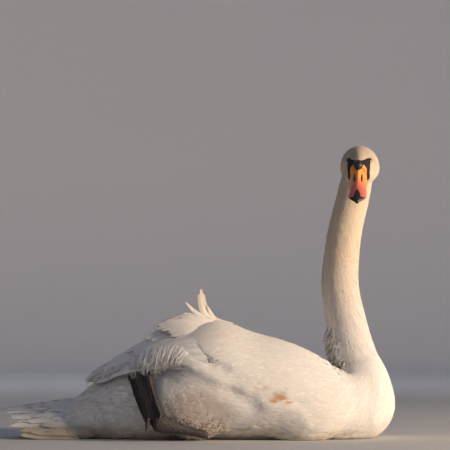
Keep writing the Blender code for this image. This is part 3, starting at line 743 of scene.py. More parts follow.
def read_mesh(mesh):
    points = np.zeros(len(mesh.vertices) * 3, np.float32)
    mesh.vertices.foreach_get("co", points)
    mesh.calc_loop_triangles()
    triangles = np.zeros(len(mesh.loop_triangles) * 3, np.int32)
    mesh.loop_triangles.foreach_get("vertices", triangles)
    return points.reshape(-1, 3).astype(float), triangles.reshape(-1, 3)


def point_normals(points, triangles):
    a, b, c = (points[triangles[:, k]] for k in range(3))
    facing = np.cross(b - a, c - a)
    total = np.zeros_like(points)
    for k in range(3):
        for axis in range(3):
            total[:, axis] += np.bincount(triangles[:, k], facing[:, axis], len(points))
    return unit(total)


def relax(values, triangles, rounds, weight=1.0):
    """Averages each point's values with its neighbours', more where its weight is higher."""
    count = len(values)
    ends = np.concatenate([triangles[:, [0, 1]], triangles[:, [1, 2]], triangles[:, [2, 0]]])
    degree = np.bincount(ends[:, 0], minlength=count) + np.bincount(ends[:, 1], minlength=count)
    for _ in range(rounds):
        total = np.zeros_like(values)
        for axis in range(values.shape[1]):
            total[:, axis] = np.bincount(ends[:, 0], values[ends[:, 1], axis], count)
            total[:, axis] += np.bincount(ends[:, 1], values[ends[:, 0], axis], count)
        values = values + 0.5 * weight * (total / np.maximum(degree, 1)[:, None] - values)
    return values


def lie_of_coat(points, label):
    """The way the feathers point: from the bill over the head, down the neck, to the tail."""
    flow = np.tile((-1.0, 0.0, 0.0), (len(points), 1))
    around = points[:, ::2] - np.array(FAN)
    fanned = (label != HEAD) & (points[:, 0] > FAN[0])
    turn = unit(np.stack([around[:, 1], np.zeros(len(points)), -around[:, 0]], -1))
    flow[fanned] = turn[fanned]
    down = unit(np.gradient(NECK_PATH[:, :3], axis=0)) * -1
    nearest = np.abs(points[:, 2:] - NECK_PATH[None, :, 2]).argmin(1)
    neck = label == NECK
    rake = np.array((-0.22, 0, 0))
    flow[neck] = (down[nearest] + rake)[neck]
    local = in_head(points)
    behind = ease(0.0, -0.040, local[:, :1])
    below = ease(-0.02, -0.055, local[:, 2:])
    back = -FORWARD * (1 - 0.9 * behind) + np.array((0, 0, -1.0)) * (1.3 * behind + 0.3 * below)
    flow[label == HEAD] = back[label == HEAD]
    leg = label == THIGH
    flow[leg] = (-0.90, 0.0, 0.0)
    flow[leg, 2] = 0.35 * ease(0.07, 0.12, points[leg, 2]) - 0.60 * ease(0.07, 0.02, points[leg, 2])
    wing = (label == WING) & (points[:, 0] < 0.0)
    flow[wing, 2] = -0.34 * ease(0.0, -0.09, points[wing, 0]) * ease(0.135, 0.17, points[wing, 2])
    rear = (label == TRUNK) & (points[:, 0] < -0.24)
    flow[rear] = (-1.0, 0.0, -0.10)
    return unit(flow)


def flesh_shapes():
    """The overlapping closed shapes that the skin covers, each with its label."""
    shapes = [(TRUNK, closed_tube(trunk_rings(110, 96))), (NECK, neck_solid())]
    shapes.append((HEAD, closed_tube(head_rings(44, 56))))
    for _, side in SIDES:
        shapes.append((WING, wing_solid(side)))
        shapes.append((THIGH, egg_solid(THIGH_CENTRE, THIGH_RADII, THIGH_TILT, side)))
        shapes.append((TRUNK, edge_solid(side)))
        for centre, radii in FLANK_PADS:
            shapes.append((TRUNK, egg_solid(centre, radii, 0.0, side)))
    return shapes


def merged_shell(points, faces):
    """One smooth closed surface round overlapping solids, as points and triangles."""
    mesh = bpy.data.meshes.new("flesh")
    mesh.from_pydata(points.tolist(), [], faces)
    helper = link_object("flesh", mesh)
    merge = helper.modifiers.new("merge", "REMESH")
    merge.mode, merge.voxel_size = "VOXEL", SKIN_VOXEL
    soften = helper.modifiers.new("soften", "SMOOTH")
    soften.factor, soften.iterations = 0.5, 6
    graph = bpy.context.evaluated_depsgraph_get()
    shell = bpy.data.meshes.new_from_object(helper.evaluated_get(graph))
    bpy.data.objects.remove(helper)
    found = read_mesh(shell)
    bpy.data.meshes.remove(shell)
    return found


class Skin:
    """The skin's points, normals, coat directions and depths, with a fast nearest lookup."""

    def __init__(self):
        points, faces, owner, first = [], [], [], 0
        for label, (found, blocks) in flesh_shapes():
            points.append(found)
            for block in outward(found, blocks):
                faces += (block + first).tolist()
                owner += [label] * len(block)
            first += len(found)
        points = np.concatenate(points)
        self.points, self.triangles = merged_shell(points, faces)
        flesh_tree = BVHTree.FromPolygons(points.tolist(), faces)
        self.label = np.array(owner)[[flesh_tree.find_nearest(p)[2] for p in self.points]]
        self.normals = point_normals(self.points, self.triangles)
        self.soften_wing_edge()
        self.depth = self.coat_depth()
        outer = self.points + self.normals * flank_relief(self.points)[:, None]
        self.points = outer - self.normals * self.depth[:, None]
        self.points[:, 2] = np.maximum(self.points[:, 2], SKIN_LOWEST)
        self.flow = self.coat_flow()
        self.normals = unit(relax(self.normals, self.triangles, 3))
        self.read_faces()

    def soften_wing_edge(self):
        """Lets the flank feathers close over the lower edge of each wing's front half."""
        x, y, z = self.points.T
        above = z - 0.12 * np.maximum(-0.06 - x, 0)
        weight = ease(-0.185, -0.14, x) * ease(0.235, 0.20, x) * ease(0.05, 0.08, np.abs(y))
        weight = weight * ease(0.152, 0.118, above) * ease(0.004, 0.02, z)
        weight = weight[:, None]
        self.points = relax(self.points, self.triangles, 260, weight)
        self.points = self.points + self.normals * weight * 0.0030
        self.normals = point_normals(self.points, self.triangles)

    def coat_depth(self):
        """How deep the coat is over each point, thinner round the bill and on the thin wing tips."""
        depth = np.array([COAT_DEPTH[k] for k in range(5)])[self.label]
        depth = relax(depth[:, None], self.triangles, 12)[:, 0]
        near_bill = (self.label == HEAD) & (in_head(self.points)[:, 0] > 0)
        depth[near_bill] = np.minimum(depth[near_bill], BILL_COAT_DEPTH)
        tree = BVHTree.FromPolygons(self.points.tolist(), self.triangles.tolist())
        for i in np.flatnonzero((self.label == WING) & (self.points[:, 0] < -0.12)):
            inward = -self.normals[i]
            found = tree.ray_cast(Vector(self.points[i] + inward * 0.0005), Vector(inward), 0.03)
            if found[0] is not None:
                depth[i] = min(depth[i], WING_COAT_SHARE * found[3])
        return depth

    def coat_flow(self):
        """The lie of the coat along the skin, evened out where its regions meet."""
        flow = lie_of_coat(self.points, self.label)
        flow = unit(flow - self.normals * dot(flow, self.normals))
        flow = relax(flow, self.triangles, 14)
        return unit(flow - self.normals * dot(flow, self.normals))

    def read_faces(self):
        corners = self.triangles
        self.tree = BVHTree.FromPolygons(self.points.tolist(), corners.tolist())
        self.face_normal = unit(self.normals[corners].mean(1))
        self.face_flow = unit(self.flow[corners].mean(1))
        self.face_depth = self.depth[corners].mean(1)
        self.face_label = self.label[corners[:, 0]]
        a, b, c = (self.points[corners[:, k]] for k in range(3))
        self.face_area = np.linalg.norm(np.cross(b - a, c - a), axis=1) / 2
        self.face_middle = (a + b + c) / 3

    def drop(self, places):
        """Each place's nearest point on the skin, and the face it lies in."""
        found = [self.tree.find_nearest(p) for p in places]
        return np.array([f[0] for f in found]), np.array([f[2] for f in found])

    def from_side(self, x, z, side):
        """The outermost point and normal of the skin on one side, at each x and z."""
        places, normals = np.zeros((*x.shape, 3)), np.zeros((*x.shape, 3))
        for i in np.ndindex(x.shape):
            found = self.tree.ray_cast(Vector((x[i], side * 0.4, z[i])), Vector((0, -side, 0)), 0.4)
            if found[0] is None:
                near, normal, _, _ = self.tree.find_nearest(Vector((x[i], side * 0.13, z[i])))
                places[i] = x[i], near[1], z[i]
                normals[i] = normal
            else:
                places[i] = found[0]
                normals[i] = self.face_normal[found[2]]
        return places, normals

    def scatter(self, draw, chosen, spacing):
        """Roots spread over the chosen faces, none closer together than the spacing there."""
        spacing = np.broadcast_to(np.asarray(spacing, float), (len(self.triangles),))
        weight = np.where(chosen, self.face_area / spacing**2, 0.0)
        count = int(weight.sum() * 5) + 8
        face = draw.choice(len(weight), count, p=weight / weight.sum())
        a, b = draw.random((2, count))
        over = a + b > 1
        a[over], b[over] = 1 - a[over], 1 - b[over]
        first, second, third = (self.points[self.triangles[face, k]] for k in range(3))
        place = first + a[:, None] * (second - first) + b[:, None] * (third - first)
        tree = KDTree(count)
        for i, p in enumerate(place):
            tree.insert(p, i)
        tree.balance()
        alive, kept = np.ones(count, bool), []
        for i in range(count):
            if alive[i]:
                kept.append(i)
                for _, k, _ in tree.find_range(place[i], spacing[face[i]]):
                    alive[k] = False
        return place[kept], face[kept]

    def trace(self, roots, faces, length, stations, yaw, stray):
        """Paths over the skin from the roots along the lie of the coat, with facings and headings.

        yaw turns each path from that lie, and stray turns it further with every step.
        """
        places, normals = [roots], [self.face_normal[faces]]
        flow = self.face_flow[faces]
        across = np.cross(normals[0], flow)
        heading = flow * np.cos(yaw)[:, None] + across * np.sin(yaw)[:, None]
        swerve = heading - flow
        step = (length / (stations - 1))[:, None]
        at = roots
        headings = [heading]
        for k in range(stations - 1):
            at, face = self.drop(at + heading * step)
            normal = self.face_normal[face]
            heading = self.face_flow[face] + swerve * (1 + stray * k)
            heading = unit(heading - normal * dot(heading, normal))
            places.append(at)
            normals.append(normal)
            headings.append(heading)
        return [np.stack(found, 1) for found in (places, normals, headings)]


# ---------------------------------------------------------------- feathers
PATCH = 0.003
CHART_EDGE = 0.015
BODY_AXIS_HEIGHT, HEAD_AXIS_DROP = 0.09, 0.025
# Where each region's part of the unwrap starts, and how long it is.
BODY_CHART, NECK_CHART, HEAD_CHART = (-0.40, 0.70), (0.13, 0.43), (-0.055, 0.095)


def chart(points, label):
    """The skin's own unwrap: each region is cut along its underside and rolled out flat."""
    turn, v = np.zeros(len(points)), np.zeros(len(points))
    body = (label == TRUNK) | (label == WING) | (label == THIGH)
    turn[body] = np.arctan2(points[body, 1], points[body, 2] - BODY_AXIS_HEIGHT)
    v[body] = (points[body, 0] - BODY_CHART[0]) / BODY_CHART[1]
    neck = label == NECK
    nearest = np.abs(points[:, 2:] - NECK_PATH[None, :, 2]).argmin(1)
    off = points - NECK_PATH[nearest, :3]
    turn[neck] = np.arctan2(off[neck, 1], off[neck, 0])
    v[neck] = (points[neck, 2] - NECK_CHART[0]) / NECK_CHART[1]
    head = label == HEAD
    local = in_head(points[head])
    turn[head] = np.arctan2(local[:, 1], local[:, 2] + HEAD_AXIS_DROP)
    v[head] = (local[:, 0] - HEAD_CHART[0]) / HEAD_CHART[1]
    u = turn / (2 * math.pi) + 0.5
    return np.clip(np.stack([u, v], -1), 0, 1) * (1 - 2 * CHART_EDGE) + CHART_EDGE


def template(stations, columns, under):
    """Faces of one blade: rings of its top columns and of the points under them, if any."""
    size = columns + under
    quads = lattice(stations, size, True)
    below = [0] * columns
    if under:
        below = [0, *[size - min(k, under) for k in range(1, columns - 1)], columns - 1]
    caps = []
    for k in range(columns - 1):
        a, b, c, d = k, k + 1, below[k + 1], below[k]
        caps += [(p, q, r) for p, q, r in ((a, b, c), (a, c, d)) if len({p, q, r}) == 3]
    caps = np.array(caps)
    return quads, np.concatenate([caps, caps[:, ::-1] + (stations - 1) * size])


def blades(path, normal, heading, half, crown, columns, thickness=None, jag=None):
    """Points (n, stations, ring, 3) of blades along paths, with the columns' places from -1 to 1."""
    across = unit(np.cross(normal, heading))
    columns = np.asarray(columns, float)
    arch = 1 - columns**2
    top = path[:, :, None] + across[:, :, None] * (half[..., None] * columns)[..., None]
    top = top + normal[:, :, None] * (crown[..., None] * arch)[..., None]
    if jag is not None:
        top = top + heading[:, :, None] * jag[..., None]
    if thickness is None:
        return top
    inner = top[:, :, -2:0:-1] - normal[:, :, None] * (thickness[..., None] * arch[-2:0:-1] ** 0.5)[..., None]
    return np.concatenate([top, inner], 2)


def feather_piece(name, points, columns, roots_uv, lengths, half, material, tone):
    """One joined mesh of many blades of the same make."""
    count, stations, size = points.shape[:3]
    under = size - len(columns)
    quads, caps = template(stations, len(columns), under)
    shift = np.arange(count)[:, None, None] * stations * size
    faces = [(quads[None] + shift).reshape(-1, 4), (caps[None] + shift).reshape(-1, 3)]
    below = np.arange(len(columns) - 2, 0, -1) if under > 1 else np.full(under, len(columns) // 2)
    places = np.asarray(columns, float)
    places = np.concatenate([places, places[below]])
    share = np.linspace(0, 1, stations)
    patch = np.zeros((count, stations, size, 2))
    patch[..., 0] = roots_uv[:, None, None, 0] + (share[None, :, None] - 0.5) * PATCH
    patch[..., 1] = roots_uv[:, None, None, 1] + places[None, None] * PATCH / 2
    vane = np.zeros((count, stations, size, 2))
    vane[..., 0] = share[None, :, None] * lengths[:, None, None] + tone[:, None, None] * 3
    vane[..., 1] = np.abs(places)[None, None] * half[:, :, None]
    shade = np.repeat(tone, stations * size)
    uv = {"OFBake": patch.reshape(-1, 2), "vane": vane.reshape(-1, 2)}
    top = points[:, :, : len(columns)]
    facing = unit(np.cross(np.gradient(top, axis=1), np.gradient(top, axis=2)))
    facing = np.concatenate([facing, -facing[:, :, below]], 2).reshape(-1, 3)
    return piece(name, points.reshape(-1, 3), faces, material, "plumage", uv, {"tone": shade}, facing)


KEEL_SINK = 0.0003


def coat(name, skin, draw, chosen, spacing, kind, material):
    """A region's coat of one kind of small feather, planted over the skin.

    kind holds: length and width as functions of the root, the half width and the rise at
    each station along the feather, its arch, its columns, its yaw, and the depth of its
    frayed tip. It may hold extra height as a function of the root, how far the feather
    strays sideways, and a keel, a line of points under its middle.
    """
    roots, faces = skin.scatter(draw, chosen, spacing)
    count = len(roots)
    length = kind["length"](roots) * draw.uniform(0.82, 1.18, count)
    width = kind["width"](roots) * draw.uniform(0.85, 1.15, count)
    lift = skin.face_depth[faces] * draw.uniform(0.95, 1.05, count)
    lift = lift + kind.get("extra", lambda p: 0)(roots)
    stations = len(kind["shape"])
    yaw = draw.normal(0, kind["yaw"], count)
    path, normal, heading = skin.trace(roots, faces, length, stations, yaw, kind.get("stray", 0.0))
    half = width[:, None] / 2 * np.asarray(kind["shape"])[None]
    columns = kind["columns"]
    fray = length * kind["fray"]
    jag = np.zeros((count, stations, len(columns)))
    jag[:, -1] = draw.uniform(-1, 0.3, (count, len(columns))) * fray[:, None]
    jag[:, -1, 0] -= fray * 0.5
    jag[:, -1, -1] -= fray * 0.5
    flat = blades(path, normal, heading, half, 0 * half, columns, jag=jag)
    at, under = skin.drop(flat.reshape(-1, 3))
    height = lift[:, None] * np.asarray(kind["rise"])[None]
    height = height[..., None] + (half * kind["arch"])[..., None] * (1 - np.array(columns) ** 2)
    out = skin.face_normal[under].reshape(flat.shape)
    at = at.reshape(flat.shape)
    points = at + out * height[..., None]
    if kind.get("keel"):
        middle = len(columns) // 2
        share = np.linspace(0, 1, stations) ** 3 * 0.9
        keel = at[:, :, middle] + out[:, :, middle] * (height[:, :, middle] * share - KEEL_SINK)[..., None]
        points = np.concatenate([points, keel[:, :, None]], 2)
    tone = draw.random(count)
    roots_uv = chart(roots, skin.face_label[faces])
    feather_piece(name, points, columns, roots_uv, length, half, material, tone)


THREE, FIVE = (-1, 0, 1), (-1, -0.5, 0, 0.5, 1)
BROAD = (-1, -0.62, -0.28, -0.05, 0, 0.05, 0.28, 0.62, 1)


def rear_of_neck(points):
    """1 along the nape side of the neck, 0 along its throat side."""
    nearest = np.abs(points[:, 2:] - NECK_PATH[None, :, 2]).argmin(1)
    off = unit(points - NECK_PATH[nearest, :3])
    return ease(0.35, 0.95, -off[:, 0])


def body_size(points):
    """The share of full size that body feathers have: smaller towards the neck."""
    away = np.linalg.norm(points - NECK_PATH[4, :3], axis=1)
    return 0.42 + 0.58 * ease(0.045, 0.16, away)


def towards_nape(points):
    return ease(0.0, -0.05, in_head(points)[:, 0])


def neck_ruffle(points):
    """Extra height on the neck: a fine ripple all over, and lumps along the nape."""
    lumps = 0.0010 * rear_of_neck(points) * ease(-0.3, 0.9, ripple(points, 0.03, 5))
    return 0.0003 * ripple(points, 0.012, 7) + lumps


def same(size):
    """The same size for every root."""
    return lambda p: np.full(len(p), size)


# The kinds of small feather, as coat takes them.
FACE_TUFT = {
    "length": lambda p: 0.0048 + 0.0042 * towards_nape(p),
    "width": lambda p: 0.0017 + 0.0006 * towards_nape(p),
    "shape": (0.75, 1.0, 0.62, 0.08),
    "rise": (0.1, 0.7, 1.0, 1.05),
    "arch": 0.22,
    "columns": THREE,
    "yaw": 0.14,
    "fray": 0.0,
}
NECK_TUFT = {
    "length": lambda p: 0.0120 + 0.0030 * rear_of_neck(p),
    "width": same(0.0036),
    "shape": (0.7, 1.0, 0.70, 0.06),
    "rise": (0.1, 0.80, 1.0, 1.0),
    "extra": neck_ruffle,
    "arch": 0.18,
    "columns": THREE,
    "yaw": 0.17,
    "fray": 0.0,
}
CONTOUR = {
    "length": lambda p: 0.027 * body_size(p) * (1 + 0.12 * ripple(p, 0.08, 9)),
    "width": lambda p: 0.0125 * body_size(p),
    "shape": (0.45, 0.94, 1.0, 0.88, 0.44),
    "rise": (0.0, 0.74, 0.93, 1.03, 1.06),
    "arch": 0.13,
    "columns": FIVE,
    "yaw": 0.13,
    "fray": 0.08,
    "keel": True,
}
DOWN = {
    "length": lambda p: 0.0185 * (1 + 0.15 * ripple(p, 0.05, 19)),
    "width": same(0.0062),
    "shape": (0.60, 1.0, 0.78, 0.10),
    "rise": (0.0, 0.82, 1.0, 0.98),
    "extra": lambda p: 0.0003 * ripple(p, 0.025, 29),
    "arch": 0.10,
    "columns": THREE,
    "yaw": 0.24,
    "fray": 0.0,
}
RUMP = {
    **DOWN,
    "length": same(0.021),
    "width": same(0.0080),
    "extra": lambda p: 0.0020 * ripple(p, 0.022, 29),
    "rise": (0.0, 0.80, 1.05, 1.40),
    "arch": 0.28,
}
CURLS = {
    **DOWN,
    "length": same(0.0125),
    "width": same(0.0026),
    "shape": (0.7, 1.0, 0.9, 0.6, 0.12),
    "rise": (0.3, 1.2, 1.9, 2.2, 1.6),
    "arch": 0.20,
    "yaw": 0.55,
    "stray": 0.45,
}
RUFF = {**NECK_TUFT, "length": same(0.021), "rise": (0.05, 1.2, 3.2, 5.8), "keel": True}
BELLY = {**CONTOUR, "length": same(0.034), "width": same(0.018)}
NECK_PARTING = 0.35
BREAST_START, RUMP_START = 0.10, -0.20
RUFF_HEIGHTS, CURLS_SPAN = (0.120, 0.225), (-0.160, -0.050)


def grow_coat(skin):
    """The small feathers of the head, neck, breast, flanks, rump and belly, and of each side."""
    white = feather_paint("plumage_white", (0.90, 0.88, 0.85))
    tan = feather_paint("plumage_soiled", (0.88, 0.84, 0.78), ((0.52, 0.38, 0.22), 0.45))
    middle, label, facing = skin.face_middle, skin.face_label, skin.face_normal
    x, y, z = middle.T
    draw = np.random.default_rng(11)
    head = (label == HEAD) & ~bare_face(middle)
    coat("coat_head", skin, draw, head, 0.00118 + 0.0005 * towards_nape(middle), FACE_TUFT, white)
    neck = label == NECK
    coat("coat_neck_upper", skin, draw, neck & (z >= NECK_PARTING), 0.00182, NECK_TUFT, white)
    coat("coat_neck_lower", skin, draw, neck & (z < NECK_PARTING), 0.00182, NECK_TUFT, white)
    ruff = neck & (rear_of_neck(middle) > 0.55) & (z > RUFF_HEIGHTS[0]) & (z < RUFF_HEIGHTS[1])
    coat("coat_ruff", skin, draw, ruff, 0.0040, RUFF, white)
    under = (facing[:, 2] < -0.6) & (z < 0.03)
    body = (label == TRUNK) & ~under
    spacing = 0.0043 * (0.25 + 0.75 * body_size(middle))
    coat("coat_breast", skin, draw, body & (x > BREAST_START), spacing, CONTOUR, white)
    coat("coat_flanks", skin, draw, body & (x <= BREAST_START) & (x > RUMP_START), 0.0040, CONTOUR, white)
    coat("coat_rump", skin, draw, body & (x <= RUMP_START), 0.0031, RUMP, white)
    coat("coat_belly", skin, draw, (label == TRUNK) & under, 0.0100, BELLY, tan)
    ragged = -0.180 - 0.22 * (z - 0.165) + 0.006 * ripple(middle, 0.02, 3)
    for word, side in SIDES:
        mine = y * side > 0
        wing = (label == WING) & mine
        coat(f"coat_wing_{word}", skin, draw, wing & (x > ragged), 0.0043, CONTOUR, white)
        rim = wing & (x <= ragged) & (x > -0.31) & (facing[:, 2] < -0.10)
        coat(f"coat_rim_{word}", skin, draw, rim, 0.0030, DOWN, white)
        coat(f"coat_thigh_{word}", skin, draw, (label == THIGH) & mine, 0.0028, DOWN, white)
        curly = (y * side > 0.09) & (z < 0.044 + 0.006 * ripple(middle, 0.03, 8)) & (z > 0.006)
        curly = curly & (x > CURLS_SPAN[0]) & (x < CURLS_SPAN[1]) & (label != WING)
        coat(f"coat_curls_{word}", skin, draw, curly, 0.0041, CURLS, tan)


# ---------------------------------------------------------------- large feathers
SHAFT_HEIGHT = 0.00035
VANE_THICKNESS, ROOT_THICKNESS = 0.00035, 0.0003
BLUNT_TIP = 0.16


def vane_shape(stations, tip, root):
    """Half widths along a large feather, as shares of the widest."""
    t = np.linspace(0, 1, stations)
    grow = root + (1 - root) * ease(0, 0.35, t)
    close = np.sqrt(np.clip(1 - ((t - (1 - tip * 2)) / (tip * 2)) ** 2, 0, 1))
    return grow * np.where(t > 1 - tip * 2, np.maximum(close, BLUNT_TIP), 1.0)


def path_lengths(path):
    return np.linalg.norm(np.diff(path, axis=1), axis=-1).sum(1)


def large_feathers(name, path, normal, half_width, draw, material, tip, arch, fray, root=0.35):
    """Vaned feathers along given paths (n, stations, 3), with a raised shaft and a frayed edge."""
    count, stations = path.shape[:2]
    heading = unit(np.gradient(path, axis=1))
    normal = unit(normal - heading * dot(normal, heading))
    half = half_width[:, None] * vane_shape(stations, tip, root)[None]
    half = half * (1 + 0.05 * draw.normal(size=half.shape))
    columns = np.array(BROAD)
    length = path_lengths(path)
    to_root = 1 - np.linspace(0, 1, stations)
    jag = draw.normal(size=(count, stations, len(columns)))
    jag = jag * np.abs(columns) ** 2 * (length * fray * 0.35)[:, None, None]
    jag[:, -1] += draw.uniform(-1, 0.4, (count, len(columns))) * (length * fray)[:, None]
    thickness = np.full((count, stations), VANE_THICKNESS) + ROOT_THICKNESS * to_root[None]
    points = blades(path, normal, heading, half, half * arch, columns, thickness, jag)
    shaft = np.argmax(columns == 0)
    points[:, :, shaft] += normal * (SHAFT_HEIGHT * (1 - 0.7 * (1 - to_root)))[None, :, None]
    roots_uv = chart(path[:, 0], np.full(count, TRUNK))
    tone = draw.random(count)
    return feather_piece(name, points, columns, roots_uv, length, half, material, tone)


# Rows of large feathers on the folded wing, hindmost first: how many, where they start and
# end from shoulder to tip, their places from the top edge to the lower one, half width,
# and how far their roots and tips stand off the wing.
WING_ROWS = (
    (8, 0.70, 1.000, 0.08, 0.90, 0.0100, -0.0045, -0.0026),
    (11, 0.64, 0.935, 0.05, 0.92, 0.0105, -0.0035, -0.0016),
    (11, 0.57, 0.840, 0.04, 0.80, 0.0110, -0.0028, -0.0006),
    (11, 0.53, 0.740, 0.04, 0.76, 0.0115, -0.0024, -0.0002),
)


def grow_wings(material):
    """The layers of flight feathers and coverts on the rear half of each folded wing."""
    draw = np.random.default_rng(23)
    t = np.linspace(0, 1, 16)[None]
    for word, side in SIDES:
        rows = []
        for count, start, end, low, high, half, root_rise, tip_rise in WING_ROWS:
            v = np.linspace(low, high, count) + draw.normal(0, 0.008, count)
            first = start + draw.normal(0, 0.006, count)
            last = end + draw.normal(0, 0.010, count) - 0.040 * v
            u = first[:, None] + (np.minimum(last, 1.0) - first)[:, None] * t
            rise = root_rise + (tip_rise - root_rise) * ease(0, 0.8, t) + draw.normal(0, 0.0003, (count, 1))
            v = v[:, None] + 0.03 * t
            normal = wing_normal(u, v, side)
            rows.append((wing_point(u, v, side) + normal * rise[..., None], normal, np.full(count, half)))
        made = large_feathers(f"flight_{word}", *joined(rows), draw, material, tip=0.18, arch=0.09, fray=0.05)
        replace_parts(made, f"primaries_{word}")


STRAND_SHAPE, STRAND_ARCH = np.array((0.6, 1.0, 0.9, 0.7, 0.45, 0.08)), 0.35


def strands(name, path, normal, half_width, draw, material):
    """Loose narrow strands along given paths (n, stations, 3)."""
    count = len(path)
    heading = unit(np.gradient(path, axis=1))
    normal = unit(normal - heading * dot(normal, heading))
    half = half_width[:, None] * STRAND_SHAPE[None]
    points = blades(path, normal, heading, half, half * STRAND_ARCH, THREE)
    roots_uv = chart(path[:, 0], np.full(count, TRUNK))
    feather_piece(name, points, THREE, roots_uv, path_lengths(path), half, material, draw.random(count))


def along_line(line, places):
    """Points at places from 0 to 1 along a line of x and z."""
    line = np.array(line)
    steps = np.linalg.norm(np.diff(line, axis=0), axis=1)
    knots = np.concatenate([[0.0], np.cumsum(steps)]) / steps.sum()
    return np.stack([np.interp(places, knots, line[:, k]) for k in (0, 1)], -1)


# The loose barbs over each foot, seen from the side as x and z: where they start and end,
# how many clumps they gather in, and how many there are in each.
COMB_ROOTS = ((-0.240, 0.161), (-0.205, 0.180), (-0.176, 0.192), (-0.151, 0.188), (-0.130, 0.174))
COMB_TIPS = (
    (-0.243, 0.128),
    (-0.226, 0.124),
    (-0.211, 0.119),
    (-0.1955, 0.131),
    (-0.169, 0.138),
    (-0.150, 0.144),
)
COMB_CLUMPS, CLUMP_SIZE = 34, 9
# Lines of fine barbs: from and to in x and z, how many, length, splay, lift and half width.
BARB_LINES = (
    (((-0.066, 0.113), (-0.100, 0.131), (-0.128, 0.141), (-0.166, 0.145)), 50, 0.045, 0.10, 0.0010, 0.0008),
    (((-0.232, 0.158), (-0.262, 0.146), (-0.299, 0.127)), 50, 0.019, 0.30, 0.0060, 0.0012),
    (((-0.296, 0.140), (-0.312, 0.131), (-0.330, 0.120)), 30, 0.015, 0.30, 0.0060, 0.0012),
    (((-0.222, 0.139), (-0.262, 0.131), (-0.300, 0.116)), 66, 0.020, 0.22, 0.0060, 0.0012),
)
# Where the wing's layers step down to the flank, and where curled wisps stand on the rump.
STEP_LINE = ((-0.128, 0.187), (-0.112, 0.166), (-0.103, 0.157), (-0.084, 0.150))
WISP_LINE = np.array(((-0.305, 0.072), (-0.275, 0.024)))
STEP_TUFTS, WISPS = 70, 85
STRAND_STEPS = np.linspace(0, 1, 6)[None, :, None]
HANG_TUCK = 0.0035  # how far a strand may turn in towards the body at each of its stations


def hang(path, normal, side, lift):
    """Lifts side paths off the skin, and lets them hang straight where it falls away."""
    out = side * path[..., 1] + lift
    for k in range(1, path.shape[1]):
        out[:, k] = np.maximum(out[:, k], out[:, k - 1] - HANG_TUCK)
    path = path.copy()
    path[..., 1] = side * out
    return path, unit(normal + np.array((0, 0.8 * side, 0)))


def comb_strands(skin, side, draw):
    """The clumped barbs that hang over the foot."""
    t, count = STRAND_STEPS, COMB_CLUMPS * CLUMP_SIZE
    clump = np.repeat(np.arange(COMB_CLUMPS), CLUMP_SIZE)
    at = (np.linspace(0.0, 1.0, COMB_CLUMPS) + draw.normal(0, 0.012, COMB_CLUMPS))[clump]
    gather = draw.normal(0, 0.0022, (COMB_CLUMPS, 2))[clump]
    first = along_line(COMB_ROOTS, at + draw.normal(0, 0.045, count)) + draw.normal(0, 0.0035, (count, 2))
    last = along_line(COMB_TIPS, at) + gather + draw.normal(0, 0.0011, (count, 2))
    bend = first * (0.30, 0.55) + last * (0.70, 0.45) + (-0.003, 0.006)
    side_on = first[:, None] * (1 - t) ** 2 + bend[:, None] * 2 * t * (1 - t) + last[:, None] * t**2
    path, normal = skin.from_side(side_on[..., 0], side_on[..., 1], side)
    lift = 0.0028 + draw.uniform(0.0008, 0.0060, (count, 1)) * np.sin(math.pi * t[..., 0] * 0.8)
    return *hang(path, normal, side, lift), draw.uniform(0.0007, 0.0013, count)


def barb_strands(skin, side, draw, line, count, length, splay, lift, half):
    """Fine barbs that start along a line and fall away from it."""
    t = STRAND_STEPS[..., 0]
    reach = np.linalg.norm(np.diff(np.array(line), axis=0), axis=1).sum()
    at = draw.uniform(-0.05, 1 - 0.6 * length / reach, count)[:, None]
    side_on = along_line(line, at + length / reach * t * draw.uniform(0.7, 1.3, (count, 1)))
    fall = draw.normal(-0.2, splay, (count, 1)) * length
    side_on[..., 1] += fall * t**1.5 + draw.normal(0, 0.0020, (count, 1))
    path, normal = skin.from_side(side_on[..., 0], side_on[..., 1], side)
    raised = lift * draw.uniform(0.5, 1.3, (count, 1)) * np.sin(math.pi * np.minimum(t + 0.1, 1) * 0.8)
    return *hang(path, normal, side, 0.0006 + raised), half * draw.uniform(0.7, 1.3, count)


def step_strands(skin, side, draw):
    """The tufts along the step where the wing's small feathers end over the flank."""
    t, count = STRAND_STEPS, STEP_TUFTS
    last = along_line(STEP_LINE, draw.uniform(0, 1, count)) + draw.normal(0, 0.0018, (count, 2))
    first = last + (0.014, 0.006) + draw.normal(0, 0.002, (count, 2))
    side_on = first[:, None] * (1 - t) + last[:, None] * t
    path, normal = skin.from_side(side_on[..., 0], side_on[..., 1], side)
    lift = 0.0006 + 0.0016 * t[..., 0] * draw.uniform(0.6, 1.2, (count, 1))
    return *hang(path, normal, side, lift), draw.uniform(0.0022, 0.0036, count)


def wisp_strands(skin, side, draw):
    """Curled wisps that point rearwards over the rump."""
    t, count = STRAND_STEPS, WISPS
    first = along_line(WISP_LINE, draw.uniform(0, 1, count)) + draw.normal(0, 0.004, (count, 2))
    turn = draw.normal(math.pi * 1.08, 0.45, count)
    ahead = np.stack([np.cos(turn), np.sin(turn)], -1) * draw.uniform(0.012, 0.024, (count, 1))
    curl = np.stack([-ahead[:, 1], ahead[:, 0]], -1) * draw.normal(0, 0.5, (count, 1))
    side_on = first[:, None] + ahead[:, None] * t + curl[:, None] * t**2
    path, normal = skin.from_side(side_on[..., 0], side_on[..., 1], side)
    lift = 0.0010 + 0.0045 * draw.uniform(0.3, 1, (count, 1)) * np.sin(math.pi * t[..., 0] * 0.75)
    return *hang(path, normal, side, lift), draw.uniform(0.0009, 0.0018, count)


